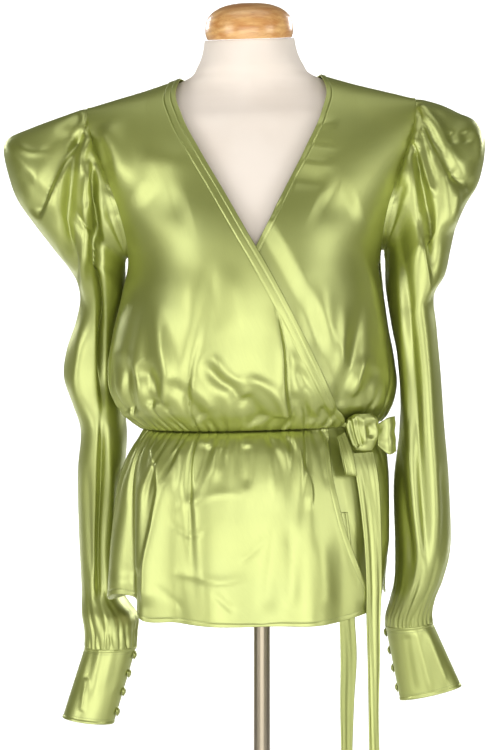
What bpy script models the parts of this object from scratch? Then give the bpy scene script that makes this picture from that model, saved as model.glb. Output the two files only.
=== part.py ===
"""Long-sleeve satin wrap blouse on a limbless dress form, as separate closed solids.

Metres, +Z up. The front faces -Y and the wearer's left is +X. The origin is the centre of the
stand's underside, on the axis of the pole. The torso and the blouse are worked out upright and
symmetric, then leaned a little over the pole, as the form in the photograph stands.
"""
import math

import bpy
import numpy as np

for old in list(bpy.data.objects):
    bpy.data.objects.remove(old, do_unlink=True)

MM = 0.001
SEAM_GAP = 0.3 * MM
WALL = 1.5 * MM
CUFF_WALL = 2.0 * MM

LEAN = math.radians(1.7)
LEAN_HEIGHT = 0.95

WAIST = 0.998
ARMPIT = 1.200
HEM_FRONT = 0.774
SHOULDER_ROUND = 0.12
RIDGE = 0.2 * MM
BODICE_UNDERLAP = 4.6 * MM
PEPLUM_UNDERLAP = 7.0 * MM
UNDERLAP_START = 0.018
UNDERLAP_FADE = 0.030
SHOULDER_UP = 3.0
SHARP_ANGLE = math.radians(50)

# Cloth around the body: height, half width on the wearer's right and left, depth to the front
# and back, squareness of the section. Above the armpit the widths run on past the armhole.
BODY = (
    (1.420, 0.215, 0.215, 0.085, 0.092, 2.0),
    (1.350, 0.210, 0.210, 0.088, 0.096, 2.0),
    (1.300, 0.190, 0.190, 0.102, 0.104, 2.0),
    (1.250, 0.170, 0.168, 0.122, 0.110, 2.0),
    (1.200, 0.153, 0.150, 0.134, 0.113, 2.05),
    (1.160, 0.161, 0.151, 0.140, 0.114, 2.1),
    (1.110, 0.174, 0.156, 0.142, 0.115, 2.15),
    (1.067, 0.181, 0.162, 0.141, 0.115, 2.2),
    (1.037, 0.177, 0.162, 0.135, 0.112, 2.2),
    (1.018, 0.165, 0.155, 0.122, 0.104, 2.2),
    (1.006, 0.149, 0.146, 0.108, 0.095, 2.2),
    (WAIST, 0.140, 0.140, 0.101, 0.089, 2.2),
    (0.990, 0.144, 0.142, 0.104, 0.092, 2.2),
    (0.972, 0.157, 0.148, 0.113, 0.099, 2.25),
    (0.943, 0.171, 0.151, 0.124, 0.106, 2.3),
    (0.901, 0.179, 0.151, 0.132, 0.112, 2.35),
    (0.852, 0.185, 0.149, 0.137, 0.116, 2.4),
    (0.806, 0.188, 0.145, 0.140, 0.119, 2.4),
    (0.770, 0.189, 0.143, 0.141, 0.120, 2.4),
)

# Shoulder seam: distance from the centre, height.
NECK_HALF = 0.083
NECK_TOP = 1.412
SHOULDER_HALF = 0.192
SHOULDER_TOP = 1.381
SHOULDER_LINE = ((0.000, 1.432), (NECK_HALF, NECK_TOP), (0.125, 1.399), (0.172, 1.3865),
                 (SHOULDER_HALF, SHOULDER_TOP), (0.230, 1.370))

# Armhole: angle around the body over most of its height, from where it curves to the side seam.
ARMHOLE_ANGLE = math.radians(66)
ARMHOLE_CURVE = 0.125
ARMHOLE_ROWS = 8

# Free edge of the wearer's right front: height, x. The left front's edge is its mirror image.
WRAP_EDGE = ((1.412, -0.083), (1.399, -0.088), (1.365, -0.081), (1.326, -0.062), (1.277, -0.035),
             (1.225, -0.007), (1.196, 0.009), (1.132, 0.041), (1.073, 0.068), (1.035, 0.084),
             (WAIST, 0.098))

# Back neckline: distance from the centre, height.
BACK_NECK = ((0.000, 1.400), (0.040, 1.402), (0.068, 1.406), (0.083, 1.412))

# Free edge of the right peplum front below the waist: height, x.
PEPLUM_EDGE = ((WAIST, 0.078), (0.948, 0.081), (0.892, 0.091), (0.849, 0.103), (0.815, 0.113),
               (0.774, 0.129))

# Hem: angle around the body in degrees (0 front, 90 wearer's left), height.
HEM = ((-180, 0.784), (-120, 0.786), (-92, 0.789), (-80, 0.797), (-66, 0.806), (-56, 0.800),
       (-48, 0.784), (-30, 0.779), (0, HEM_FRONT), (30, 0.774), (50, 0.780), (90, 0.788),
       (130, 0.786), (180, 0.784))

# Flutes of the peplum, full at the hem: angle in degrees, width in degrees, height in metres.
FLUTES = ((-76, 9, 0.005), (-58, 7, -0.014), (-46, 6, 0.005), (-30, 7, -0.006), (-15, 8, 0.005),
          (2, 8, -0.005), (18, 8, 0.004), (34, 7, -0.003), (50, 8, 0.001), (125, 8, -0.007),
          (142, 8, 0.009), (160, 8, -0.008), (180, 8, 0.009), (-160, 8, -0.008), (-142, 8, 0.009),
          (-125, 8, -0.007), (-108, 8, -0.003))

# Soft folds of the bodice: start angle and height, end angle and height, width in degrees, depth.
BODICE_FOLDS = (
    (-62, 1.175, -58, 1.030, 5, 0.0050),
    (-48, 1.150, -44, 1.020, 5, -0.0050),
    (-34, 1.120, -20, 1.015, 5, -0.0055),
    (-12, 1.110, -3, 1.020, 5, -0.0050),
    (8, 1.130, 16, 1.012, 4, -0.0050),
    (50, 1.140, 42, 1.015, 6, -0.0060),
    (72, 1.120, 64, 1.010, 6, 0.0050),
    (-76, 1.100, -78, 1.015, 6, -0.0050),
    (150, 1.130, 154, 1.010, 7, -0.0065),
    (-150, 1.130, -154, 1.010, 7, -0.0065),
    (180, 1.100, 180, 1.010, 7, 0.0060),
    (120, 1.120, 124, 1.010, 7, 0.0060),
    (-120, 1.120, -124, 1.010, 7, 0.0060),
)

# Each bodice fold comes in and goes out over this part of its length, and runs on past its end.
FOLD_EASE = 0.4
FOLD_RUN_ON = 1.25

GATHER_HEIGHT = 1.8 * MM
GATHER_FADE = 0.016
SEAM_COLUMNS = 48
BODICE_COLUMNS = 16
PEPLUM_COLUMNS = 24
# Share of the bodice's height over which its back columns spread out from the shoulder seam.
BACK_SPREAD = 0.3
# How far the left peplum front's hidden edge draws back at the hem, and the share of the
# peplum's height over which it sinks below the right one.
HIDDEN_EDGE_TAPER = 0.35
PEPLUM_SINK = 0.2

# Heights at the side seam of the bodice rows below the armpit, plain and then gathered.
BODICE_ROWS = (1.160, 1.118, 1.080, 1.050)
BODICE_SEAM_ROWS = (1.026, 1.009, WAIST)

# How far down each peplum row lies, 0 at the waist seam and 1 at the hem.
PEPLUM_SEAM_ROWS = (0.0, 0.055, 0.14)
PEPLUM_ROWS = (0.28, 0.50, 0.75, 1.0)

# Sleeve sections from the armhole to the cuff: outer x and z, inner x and z, centre y,
# half depth, squareness. Outer and inner distances are from the body's centre line.
RIGHT_SLEEVE = (
    (0.2060, 1.3785, 0.1550, 1.2010, 0.004, 0.050, 2.0),
    (0.2335, 1.3700, 0.1560, 1.2000, 0.006, 0.057, 1.9),
    (0.2655, 1.3590, 0.1570, 1.1980, 0.009, 0.061, 1.8),
    (0.2905, 1.3490, 0.1580, 1.1950, 0.012, 0.063, 1.7),
    (0.2985, 1.3370, 0.1585, 1.1910, 0.015, 0.065, 1.7),
    (0.2955, 1.3100, 0.1590, 1.1850, 0.019, 0.067, 1.75),
    (0.2855, 1.2760, 0.1595, 1.1770, 0.024, 0.067, 1.85),
    (0.2665, 1.2460, 0.1605, 1.1680, 0.029, 0.066, 2.0),
    (0.2480, 1.2200, 0.1615, 1.1570, 0.034, 0.062, 2.1),
    (0.2285, 1.1920, 0.1640, 1.1440, 0.040, 0.057, 2.2),
    (0.2150, 1.1620, 0.1680, 1.1270, 0.047, 0.052, 2.2),
    (0.2200, 1.1290, 0.1715, 1.1050, 0.055, 0.048, 2.2),
    (0.2345, 1.0900, 0.1745, 1.0720, 0.061, 0.046, 2.2),
    (0.2390, 1.0560, 0.1735, 1.0450, 0.063, 0.046, 2.2),
    (0.2285, 1.0220, 0.1665, 1.0150, 0.061, 0.046, 2.2),
    (0.2205, 0.9900, 0.1640, 0.9830, 0.060, 0.047, 2.2),
    (0.2265, 0.9400, 0.1690, 0.9350, 0.070, 0.048, 2.2),
    (0.2290, 0.8700, 0.1785, 0.8670, 0.085, 0.045, 2.1),
    (0.2285, 0.7950, 0.1790, 0.7940, 0.091, 0.043, 2.1),
    (0.2285, 0.7620, 0.1590, 0.7600, 0.077, 0.043, 2.1),
    (0.2250, 0.7400, 0.1595, 0.7390, 0.066, 0.036, 2.0),
)
LEFT_SLEEVE = (
    (0.2060, 1.3785, 0.1540, 1.2010, 0.002, 0.050, 2.0),
    (0.2270, 1.3720, 0.1545, 1.2000, 0.003, 0.056, 1.9),
    (0.2470, 1.3620, 0.1550, 1.1980, 0.004, 0.059, 1.8),
    (0.2650, 1.3530, 0.1550, 1.1950, 0.004, 0.061, 1.7),
    (0.2765, 1.3350, 0.1555, 1.1910, 0.004, 0.062, 1.7),
    (0.2760, 1.3080, 0.1560, 1.1850, 0.004, 0.063, 1.75),
    (0.2680, 1.2780, 0.1560, 1.1770, 0.003, 0.063, 1.85),
    (0.2530, 1.2540, 0.1560, 1.1680, 0.002, 0.063, 2.0),
    (0.2400, 1.2280, 0.1560, 1.1570, 0.000, 0.061, 2.1),
    (0.2320, 1.1980, 0.1570, 1.1440, -0.002, 0.059, 2.2),
    (0.2250, 1.1710, 0.1585, 1.1270, -0.004, 0.057, 2.2),
    (0.2110, 1.1460, 0.1610, 1.1050, -0.006, 0.055, 2.2),
    (0.2130, 1.1080, 0.1655, 1.0760, -0.008, 0.054, 2.2),
    (0.2165, 1.0500, 0.1685, 1.0320, -0.011, 0.054, 2.2),
    (0.2190, 0.9900, 0.1650, 0.9830, -0.013, 0.053, 2.2),
    (0.2230, 0.9250, 0.1570, 0.9210, -0.014, 0.052, 2.2),
    (0.2235, 0.8500, 0.1565, 0.8480, -0.014, 0.051, 2.2),
    (0.2140, 0.8080, 0.1545, 0.8070, -0.012, 0.047, 2.2),
    (0.2040, 0.7830, 0.1490, 0.7820, -0.011, 0.042, 2.1),
    (0.1995, 0.7650, 0.1430, 0.7620, -0.010, 0.036, 2.0),
)
SLEEVE_COLUMNS = 4 * ARMHOLE_ROWS

# Folds that run along a sleeve: depth, width in degrees, then pairs of section number and angle
# (0 outer edge, 90 front, 180 against the body, 270 back).
RIGHT_SLEEVE_FOLDS = (
    (0.0100, 13, (2, 138), (7, 143), (11, 124), (14, 106), (16, 92), (19, 74), (21, 70)),
    (0.0080, 10, (1, 100), (4, 62), (6, 30)),
    (0.0080, 10, (1, 118), (4, 96), (7, 84), (9, 72)),
    (0.0080, 14, (2, 230), (7, 222), (12, 240), (16, 250), (21, 262)),
    (0.0080, 10, (1, 262), (4, 300), (7, 326)),
    (0.0060, 13, (12, 305), (16, 300), (21, 316)),
)
LEFT_SLEEVE_FOLDS = (
    (0.0100, 12, (1, 122), (5, 108), (9, 84), (12, 52)),
    (0.0070, 11, (1, 84), (4, 50), (6, 24)),
    (0.0080, 13, (12, 128), (15, 106), (17, 84), (20, 62)),
    (0.0080, 13, (3, 152), (8, 150), (12, 146)),
    (0.0080, 14, (2, 228), (7, 222), (12, 240), (16, 250), (20, 262)),
    (0.0080, 10, (1, 262), (4, 300), (7, 326)),
    (0.0060, 13, (12, 305), (15, 300), (20, 316)),
)
FOLD_SHARE = 0.35
SLEEVE_FOLD_START = 0.7
SLEEVE_FOLD_EASE = 1.7
CUFF_GATHER = 1.5 * MM

# Cuffs: outer x and z, inner x and z, centre y, half depth, for the top and the bottom edge.
RIGHT_CUFF = ((0.2245, 0.7240, 0.1610, 0.7220, 0.062, 0.030),
              (0.2540, 0.6395, 0.1915, 0.6300, 0.048, 0.026))
LEFT_CUFF = ((0.1990, 0.7540, 0.1425, 0.7505, -0.010, 0.032),
             (0.2320, 0.6750, 0.1580, 0.6600, -0.012, 0.022))
CUFF_COLUMNS = 28
CUFF_ROWS = (0.0, 0.33, 0.67, 1.0)
BUTTON_ROWS = (0.10, 0.34, 0.58, 0.84)
BUTTON_RADIUS = 4.5 * MM
BUTTON_HEIGHT = 4.0 * MM
BUTTON_STAND = 1.1 * MM
# Dome of a button: share of its radius, share of its height.
BUTTON_PROFILE = ((1.0, 0.0), (1.0, 0.35), (0.65, 0.85))
BUTTON_SIDES = 8

# Dress form: height, half width, depth to the front and back, centre y, squareness.
FORM = (
    (0.812, 0.122, 0.098, 0.084, 0.000, 2.0),
    (0.818, 0.128, 0.104, 0.090, 0.000, 2.0),
    (0.840, 0.132, 0.107, 0.094, 0.000, 2.0),
    (0.900, 0.131, 0.102, 0.092, 0.000, 2.0),
    (0.960, 0.123, 0.089, 0.080, 0.000, 2.0),
    (0.998, 0.119, 0.083, 0.075, 0.000, 2.0),
    (1.040, 0.124, 0.091, 0.082, 0.000, 2.0),
    (1.100, 0.133, 0.112, 0.094, 0.000, 2.0),
    (1.155, 0.138, 0.126, 0.101, 0.000, 2.0),
    (1.200, 0.138, 0.121, 0.104, 0.000, 2.0),
    (1.260, 0.146, 0.103, 0.100, 0.000, 2.0),
    (1.310, 0.158, 0.085, 0.092, 0.000, 1.95),
    (1.345, 0.167, 0.070, 0.080, 0.000, 1.85),
    (1.366, 0.168, 0.060, 0.070, 0.000, 1.7),
    (1.379, 0.158, 0.052, 0.062, 0.002, 1.55),
    (1.389, 0.134, 0.047, 0.054, 0.003, 1.45),
    (1.398, 0.108, 0.045, 0.047, 0.004, 1.4),
    (1.406, 0.088, 0.046, 0.045, 0.006, 1.5),
    (1.414, 0.0715, 0.047, 0.045, 0.007, 1.8),
    (1.425, 0.0635, 0.050, 0.048, 0.007, 2.0),
    (1.438, 0.0575, 0.051, 0.050, 0.006, 2.0),
    (1.4565, 0.0535, 0.051, 0.050, 0.004, 2.0),
)
FORM_COLUMNS = 26
CAP_RADIUS = 0.0540
CAP_HEIGHT = 0.0425
CAP_SEAT = 1.4570
# The neck's top and its cap tip forward together, from this height up.
CAP_TILT = math.radians(4.0)
TIP_FROM = 1.425
# Outline of the cap: share of its radius, share of its height.
CAP_PROFILE = ((0.955, 0.0), (1.0, 0.13), (1.0, 0.32), (0.965, 0.50), (0.87, 0.71), (0.68, 0.88),
               (0.36, 0.985))
POLE_RADIUS = 0.010
BASE_RADIUS = 0.165
BASE_HEIGHT = 0.014
# Outline of the base above its underside: share of its radius, share of its height.
BASE_PROFILE = ((1.0, 0.0), (1.0, 0.35), (0.97, 0.6), (0.4, 0.9), (0.12, 1.0))
TURNED_SEGMENTS = 32
POLE_SEGMENTS = 24

TIE_WALL = 1.8 * MM
TIE_COLUMNS = 3

# Tie strips, row by row: left edge (x, y, z), then right edge, as seen from the front.
TIE_TAIL_FRONT = (
    ((0.105, -0.0932, 0.9672), (0.130, -0.0850, 0.9676)),
    ((0.108, -0.0985, 0.9450), (0.134, -0.0905, 0.9450)),
    ((0.112, -0.1010, 0.9120), (0.136, -0.0925, 0.9120)),
    ((0.116, -0.1025, 0.8620), (0.136, -0.0935, 0.8620)),
    ((0.117, -0.1020, 0.8120), (0.135, -0.0935, 0.8120)),
    ((0.116, -0.1010, 0.7750), (0.133, -0.0935, 0.7750)),
    ((0.116, -0.1000, 0.7200), (0.131, -0.0940, 0.7200)),
    ((0.1155, -0.0990, 0.6600), (0.128, -0.0945, 0.6600)),
    ((0.115, -0.0985, 0.6030), (0.127, -0.0945, 0.6030)),
)
TIE_LOOP_LOWER = (
    ((0.0880, -0.0960, 0.9870), (0.0975, -0.0930, 0.9920)),
    ((0.0925, -0.1055, 0.9680), (0.1045, -0.1020, 0.9700)),
    ((0.0960, -0.1085, 0.9500), (0.1080, -0.1050, 0.9480)),
    ((0.0966, -0.1060, 0.9450), (0.1086, -0.1025, 0.9430)),
    ((0.0955, -0.1025, 0.9500), (0.1075, -0.0990, 0.9490)),
    ((0.0920, -0.0995, 0.9680), (0.1030, -0.0955, 0.9700)),
    ((0.0890, -0.0925, 0.9840), (0.0975, -0.0895, 0.9880)),
)
TIE_LOOP_SIDE = (
    ((0.1362, -0.0800, 0.9740), (0.1382, -0.0790, 1.0000)),
    ((0.1480, -0.0830, 0.9640), (0.1480, -0.0830, 1.0070)),
    ((0.1550, -0.0760, 0.9660), (0.1550, -0.0760, 1.0080)),
    ((0.1550, -0.0700, 0.9680), (0.1550, -0.0700, 1.0070)),
    ((0.1480, -0.0650, 0.9700), (0.1480, -0.0650, 1.0040)),
    ((0.1400, -0.0680, 0.9720), (0.1400, -0.0680, 1.0000)),
)
# Knot of the tie: height, centre x and y, half width, half depth.
TIE_KNOT = (
    (0.9685, 0.1185, -0.0840, 0.0100, 0.0045),
    (0.9720, 0.1185, -0.0838, 0.0125, 0.0072),
    (0.9850, 0.1185, -0.0820, 0.0175, 0.0105),
    (0.9990, 0.1180, -0.0812, 0.0195, 0.0108),
    (1.0070, 0.1185, -0.0850, 0.0180, 0.0090),
    (1.0130, 0.1190, -0.0880, 0.0100, 0.0050),
)
KNOT_COLUMNS = 16
# The second tail hangs between the two peplum fronts: height, x of its middle, half width.
TIE_TAIL_BACK = ((0.900, 0.092, 0.0085), (0.865, 0.0950, 0.0085), (0.830, 0.0965, 0.0085),
                 (0.800, 0.0970, 0.0085), (0.774, 0.0970, 0.0085), (0.730, 0.0975, 0.0090),
                 (0.680, 0.0945, 0.0080), (0.640, 0.0930, 0.0070), (0.603, 0.0920, 0.0060))
TAIL_BACK_LIFT = -5.2 * MM
TAIL_BACK_WALL = 1.4 * MM

SATIN = ("satin", (0.42, 0.52, 0.12, 1.0), 0.35, 0.2)
FORM_CLOTH = ("form_cloth", (0.86, 0.80, 0.72, 1.0), 0.85, 0.0)
WOOD = ("varnished_wood", (0.55, 0.27, 0.08, 1.0), 0.30, 0.0)
STEEL = ("brushed_steel", (0.62, 0.60, 0.57, 1.0), 0.35, 1.0)


def smooth(at, knots, values):
    """A curve through the knots: cubic Hermite pieces with the knots' mean slopes."""
    knots = np.asarray(knots, float)
    values = np.asarray(values, float)
    if knots[0] > knots[-1]:
        knots, values = knots[::-1], values[::-1]
    slopes = np.gradient(values, knots)
    at = np.clip(at, knots[0], knots[-1])
    piece = np.clip(np.searchsorted(knots, at, side="right") - 1, 0, len(knots) - 2)
    span = knots[piece + 1] - knots[piece]
    t = (at - knots[piece]) / span
    start = (1 + 2 * t) * (1 - t) ** 2 * values[piece] + t * (1 - t) ** 2 * span * slopes[piece]
    end = t * t * (3 - 2 * t) * values[piece + 1] + t * t * (t - 1) * span * slopes[piece + 1]
    return start + end


def table_curve(table, at, column=1):
    """Read a column of a table smoothly, with its first column as the place."""
    return smooth(at, [row[0] for row in table], [row[column] for row in table])


def ease(t):
    """0 below 0, 1 above 1 and a smooth step between."""
    t = np.clip(t, 0.0, 1.0)
    return t * t * (3 - 2 * t)


def unit(vectors):
    return vectors / np.maximum(np.linalg.norm(vectors, axis=-1, keepdims=True), 1e-12)


def leaned(points):
    """Lean upright points over the pole, about the Y axis at the lean's height."""
    x, y, z = np.moveaxis(np.asarray(points, float), -1, 0)
    rise = z - LEAN_HEIGHT
    return np.stack([x * math.cos(LEAN) - rise * math.sin(LEAN), y,
                     LEAN_HEIGHT + x * math.sin(LEAN) + rise * math.cos(LEAN)], -1)


def material(finish):
    """The Principled material of a finish, made once."""
    name, colour, roughness, metallic = finish
    made = bpy.data.materials.get(name)
    if made is None:
        made = bpy.data.materials.new(name)
        made.use_nodes = True
        shader = made.node_tree.nodes["Principled BSDF"]
        shader.inputs["Base Color"].default_value = colour
        shader.inputs["Roughness"].default_value = roughness
        shader.inputs["Metallic"].default_value = metallic
        made.diffuse_color = colour
    return made


def add_mesh(name, points, faces, finish, lean=True):
    """One named object from points and faces, leaned with the form unless told not to."""
    placed = leaned(points) if lean else np.asarray(points)
    mesh = bpy.data.meshes.new(name)
    mesh.from_pydata(placed.tolist(), [], faces)
    mesh.materials.append(material(finish))
    mesh.shade_smooth()
    mesh.set_sharp_from_angle(angle=SHARP_ANGLE)
    made = bpy.data.objects.new(name, mesh)
    bpy.context.scene.collection.objects.link(made)
    return made


def zipped(first, second, first_at, second_at):
    """Triangles between two rows of indices, stepping on along whichever row is behind."""
    triangles = []
    i = j = 0
    while i < len(first) - 1 or j < len(second) - 1:
        if j == len(second) - 1:
            step_first = True
        elif i == len(first) - 1:
            step_first = False
        else:
            step_first = first_at[i] + first_at[i + 1] <= second_at[j] + second_at[j + 1]
        if step_first:
            triangles.append((first[i], second[j], first[i + 1]))
            i += 1
        else:
            triangles.append((first[i], second[j], second[j + 1]))
            j += 1
    return triangles


def cloth_solid(name, rows, finish=SATIN, tube=False, flip=False):
    """A closed wall from rows of (outer points, inner points); tube rows close on themselves.

    flip is for rows that run the other way round, seen from outside.
    """
    points = []
    outer = []
    inner = []
    for row_outer, row_inner in rows:
        for target, row in ((outer, row_outer), (inner, row_inner)):
            start = sum(len(block) for block in points)
            points.append(np.asarray(row))
            indices = list(range(start, start + len(row)))
            target.append(indices + indices[:1] if tube else indices)
    faces = []
    for k in range(len(rows) - 1):
        at = [np.linspace(0, 1, len(outer[m])) for m in (k, k + 1)]
        faces += zipped(outer[k], outer[k + 1], *at)
        faces += [(c, b, a) for a, b, c in zipped(inner[k], inner[k + 1], *at)]
    for k, turned in ((0, False), (len(rows) - 1, True)):
        at = np.linspace(0, 1, len(outer[k]))
        rim = zipped(inner[k], outer[k], at, at)
        faces += [(c, b, a) for a, b, c in rim] if turned else rim
    if not tube:
        for end, turned in ((0, True), (-1, False)):
            outer_side = [row[end] for row in outer]
            inner_side = [row[end] for row in inner]
            at = np.linspace(0, 1, len(rows))
            rim = zipped(inner_side, outer_side, at, at)
            faces += [(c, b, a) for a, b, c in rim] if turned else rim
    if flip:
        faces = [(c, b, a) for a, b, c in faces]
    return add_mesh(name, np.concatenate(points), faces, finish)


def body_point(angle, height):
    """Point of the cloth around the body; the shoulders round off below the shoulder line."""
    right, left, front, back, square = (table_curve(BODY, height, column) for column in range(1, 6))
    side = np.sin(angle)
    fore = np.cos(angle)
    half = np.where(side < 0, right, left)
    depth = np.where(fore > 0, front, back)
    x = np.sign(side) * half * np.abs(side) ** (2 / square)
    drop = np.clip((shoulder_height(x) - height - RIDGE) / SHOULDER_ROUND, 0, 1)
    roundness = np.sqrt(1 - (1 - drop) ** 2)
    y = -np.sign(fore) * depth * np.abs(fore) ** (2 / square) * roundness
    return np.stack([x, y, height + 0 * x], -1), roundness


def shoulder_height(x):
    return np.interp(np.abs(x), [p[0] for p in SHOULDER_LINE], [p[1] for p in SHOULDER_LINE])


def body_normal(angle, height):
    """Outward directions of the cloth: level, and at right angles to it (up at the shoulders)."""
    turn = 0.01
    rise = 1.0 * MM
    along = body_point(angle + turn, height)[0] - body_point(angle - turn, height)[0]
    level = unit(np.stack([along[..., 1], -along[..., 0], 0 * along[..., 0]], -1))
    above, _ = body_point(angle, height + rise)
    below, _ = body_point(angle, height - rise)
    growth = np.sum((above - below) * level, -1) / (2 * rise)
    roundness = body_point(angle, height)[1]
    square_on = level * roundness[..., None]
    square_on[..., 2] = -growth * roundness + (1 - roundness) * SHOULDER_UP
    return level, unit(square_on)


def angle_at(x, height):
    """Angle around the body where the cloth at this height has this x."""
    right, left, _, _, square = (table_curve(BODY, height, column) for column in range(1, 6))
    half = np.where(x < 0, right, left)
    ratio = np.clip(np.abs(x) / half, 0, 1)
    return np.sign(x) * np.arcsin(ratio ** (square / 2))


def bumps(angle, centre, width):
    """A bell over the angle, measured the short way round."""
    away = np.abs((angle - centre + math.pi) % (2 * math.pi) - math.pi)
    return np.exp(-((away / width) ** 2))


def bodice_fold_height(angle, height):
    """Sum of the bodice's soft folds: a bell across each fold that fades towards its ends."""
    total = np.zeros(np.shape(angle))
    for start_angle, start_height, end_angle, end_height, width, depth in BODICE_FOLDS:
        t = (start_height - height) / (start_height - end_height)
        centre = np.radians(start_angle + (end_angle - start_angle) * t)
        fade = ease(t / FOLD_EASE) * ease((FOLD_RUN_ON - t) / FOLD_EASE)
        total += depth * fade * bumps(angle, centre, math.radians(width))
    return total


def flute_height(angle, height):
    """Sum of the peplum's flutes, growing from nothing at the waist."""
    grow = ease((WAIST - height) / (WAIST - HEM_FRONT))
    total = np.zeros(np.shape(angle))
    for centre, width, depth in FLUTES:
        total += depth * bumps(angle, math.radians(centre), math.radians(width))
    return total * grow


def gather(count, height):
    """Fine gathers at the waist seam: neighbouring columns step in and out."""
    step = np.where(np.arange(count) % 2 == 0, 1.0, -1.0)
    return step * GATHER_HEIGHT * np.exp(-np.abs(height - WAIST) / GATHER_FADE)


def cloth_row(angle, height, lift, shift):
    """Outer and inner points of a row on the body, lifted off it and moved by a seam gap."""
    base, _ = body_point(angle, height)
    level, square_on = body_normal(angle, height + np.sign(shift[2]) * 2 * MM)
    outer = base + level * lift[:, None] + np.asarray(shift)
    return outer, outer - square_on * WALL


def under_share(x, edge_x):
    """1 where the left front lies under the right one, fading to 0 past the right one's edge."""
    return 1 - ease((x - edge_x - UNDERLAP_START) / UNDERLAP_FADE)


def armhole_angle(height):
    """Angle around the body of the armhole at a height above the armpit, or of the side seam."""
    rise = np.maximum(height - ARMPIT, 0) / (SHOULDER_TOP - ARMPIT)
    return ARMHOLE_ANGLE + (math.pi / 2 - ARMHOLE_ANGLE) * np.exp(-rise / ARMHOLE_CURVE)


def side_heights():
    """Heights of the plain bodice rows at the side: round the armhole, then down the seam."""
    turns = np.linspace(0, math.pi, ARMHOLE_ROWS + 1)
    round_armhole = ARMPIT + (SHOULDER_TOP - ARMPIT) * (1 + np.cos(turns)) / 2
    return [float(height) for height in round_armhole] + list(BODICE_ROWS)


def bodice_shift(side_height, shift_y):
    """Half of the seam gap, towards the front or back and, near the waist, upwards."""
    return (0.0, shift_y, SEAM_GAP / 2 if side_height < ARMPIT else 0.0)


def front_row(side_height, columns, side, gathered):
    """One row of a bodice front from its armhole or side seam to its free edge.

    side is -1 for the wearer's right front, which lies on top, and +1 for the left.
    """
    fraction = (SHOULDER_TOP - side_height) / (SHOULDER_TOP - WAIST)
    edge_height = NECK_TOP + (WAIST - NECK_TOP) * fraction
    side_angle = side * armhole_angle(side_height)
    edge_x = -side * table_curve(WRAP_EDGE, edge_height)
    edge_angle = angle_at(np.array(edge_x), edge_height)
    u = np.linspace(0, 1, columns + 1)
    angle = side_angle + (edge_angle - side_angle) * u
    height = side_height + (edge_height - side_height) * u
    if fraction == 0:
        for _ in range(4):
            height = shoulder_height(body_point(angle, height)[0][:, 0])
    x = body_point(angle, height)[0][:, 0]
    under = under_share(x, table_curve(WRAP_EDGE, height)) if side > 0 else 0 * x
    lift = bodice_fold_height(angle, height) - BODICE_UNDERLAP * under
    if gathered:
        lift = lift + gather(columns + 1, height) * (1 - under)
    return cloth_row(angle, height, lift, bodice_shift(side_height, -SEAM_GAP / 2))


def back_row(side_height, columns, gathered):
    """One row of the bodice back from the left side seam round to the right."""
    u = np.linspace(-1, 1, columns + 1)
    fraction = (SHOULDER_TOP - side_height) / (SHOULDER_TOP - WAIST)
    half_angle = armhole_angle(side_height)
    seam_x = np.abs(u) * SHOULDER_HALF
    top = np.where(seam_x < NECK_HALF, table_curve(BACK_NECK, seam_x), shoulder_height(seam_x))
    height = top + (WAIST - top) * fraction
    seam_angle = math.pi + angle_at(np.sign(u) * seam_x, top)
    even_angle = math.pi + half_angle * u
    angle = seam_angle + (even_angle - seam_angle) * ease(fraction / BACK_SPREAD)
    angle[[0, -1]] = even_angle[[0, -1]]
    lift = bodice_fold_height(angle, height)
    if gathered:
        lift = lift + gather(columns + 1, height)
    return cloth_row(angle, height, lift, bodice_shift(side_height, SEAM_GAP / 2))


def bodice():
    """The two wrapped fronts and the back."""
    for name, side in (("bodice_right_front", -1), ("bodice_left_front", 1)):
        rows = [front_row(height, BODICE_COLUMNS, side, False) for height in side_heights()]
        rows += [front_row(height, SEAM_COLUMNS, side, True) for height in BODICE_SEAM_ROWS]
        cloth_solid(name, rows, flip=side > 0)
    rows = [back_row(height, BODICE_COLUMNS, False) for height in side_heights()]
    rows += [back_row(height, SEAM_COLUMNS, True) for height in BODICE_SEAM_ROWS]
    cloth_solid("bodice_back", rows)


def peplum_row(fraction, columns, start, end, shift_y, under, gathered):
    """One row of a peplum panel between two angles, which may depend on the height."""
    guess = WAIST + (HEM_FRONT - WAIST) * fraction
    first = start(guess)
    last = end(guess)
    angle = np.linspace(first, last, columns + 1)
    hem = table_curve(HEM, np.degrees((angle + math.pi) % (2 * math.pi) - math.pi))
    height = WAIST + (hem - WAIST) * fraction
    x = body_point(angle, height)[0][:, 0]
    share = under_share(x, table_curve(PEPLUM_EDGE, height)) if under else 0 * x
    deep = BODICE_UNDERLAP + (PEPLUM_UNDERLAP - BODICE_UNDERLAP) * ease(fraction / PEPLUM_SINK)
    lift = flute_height(angle, height) - deep * share
    if gathered:
        lift = lift + gather(columns + 1, height) * (1 - share)
    return cloth_row(angle, height, lift, (0.0, shift_y, -SEAM_GAP / 2))


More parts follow.
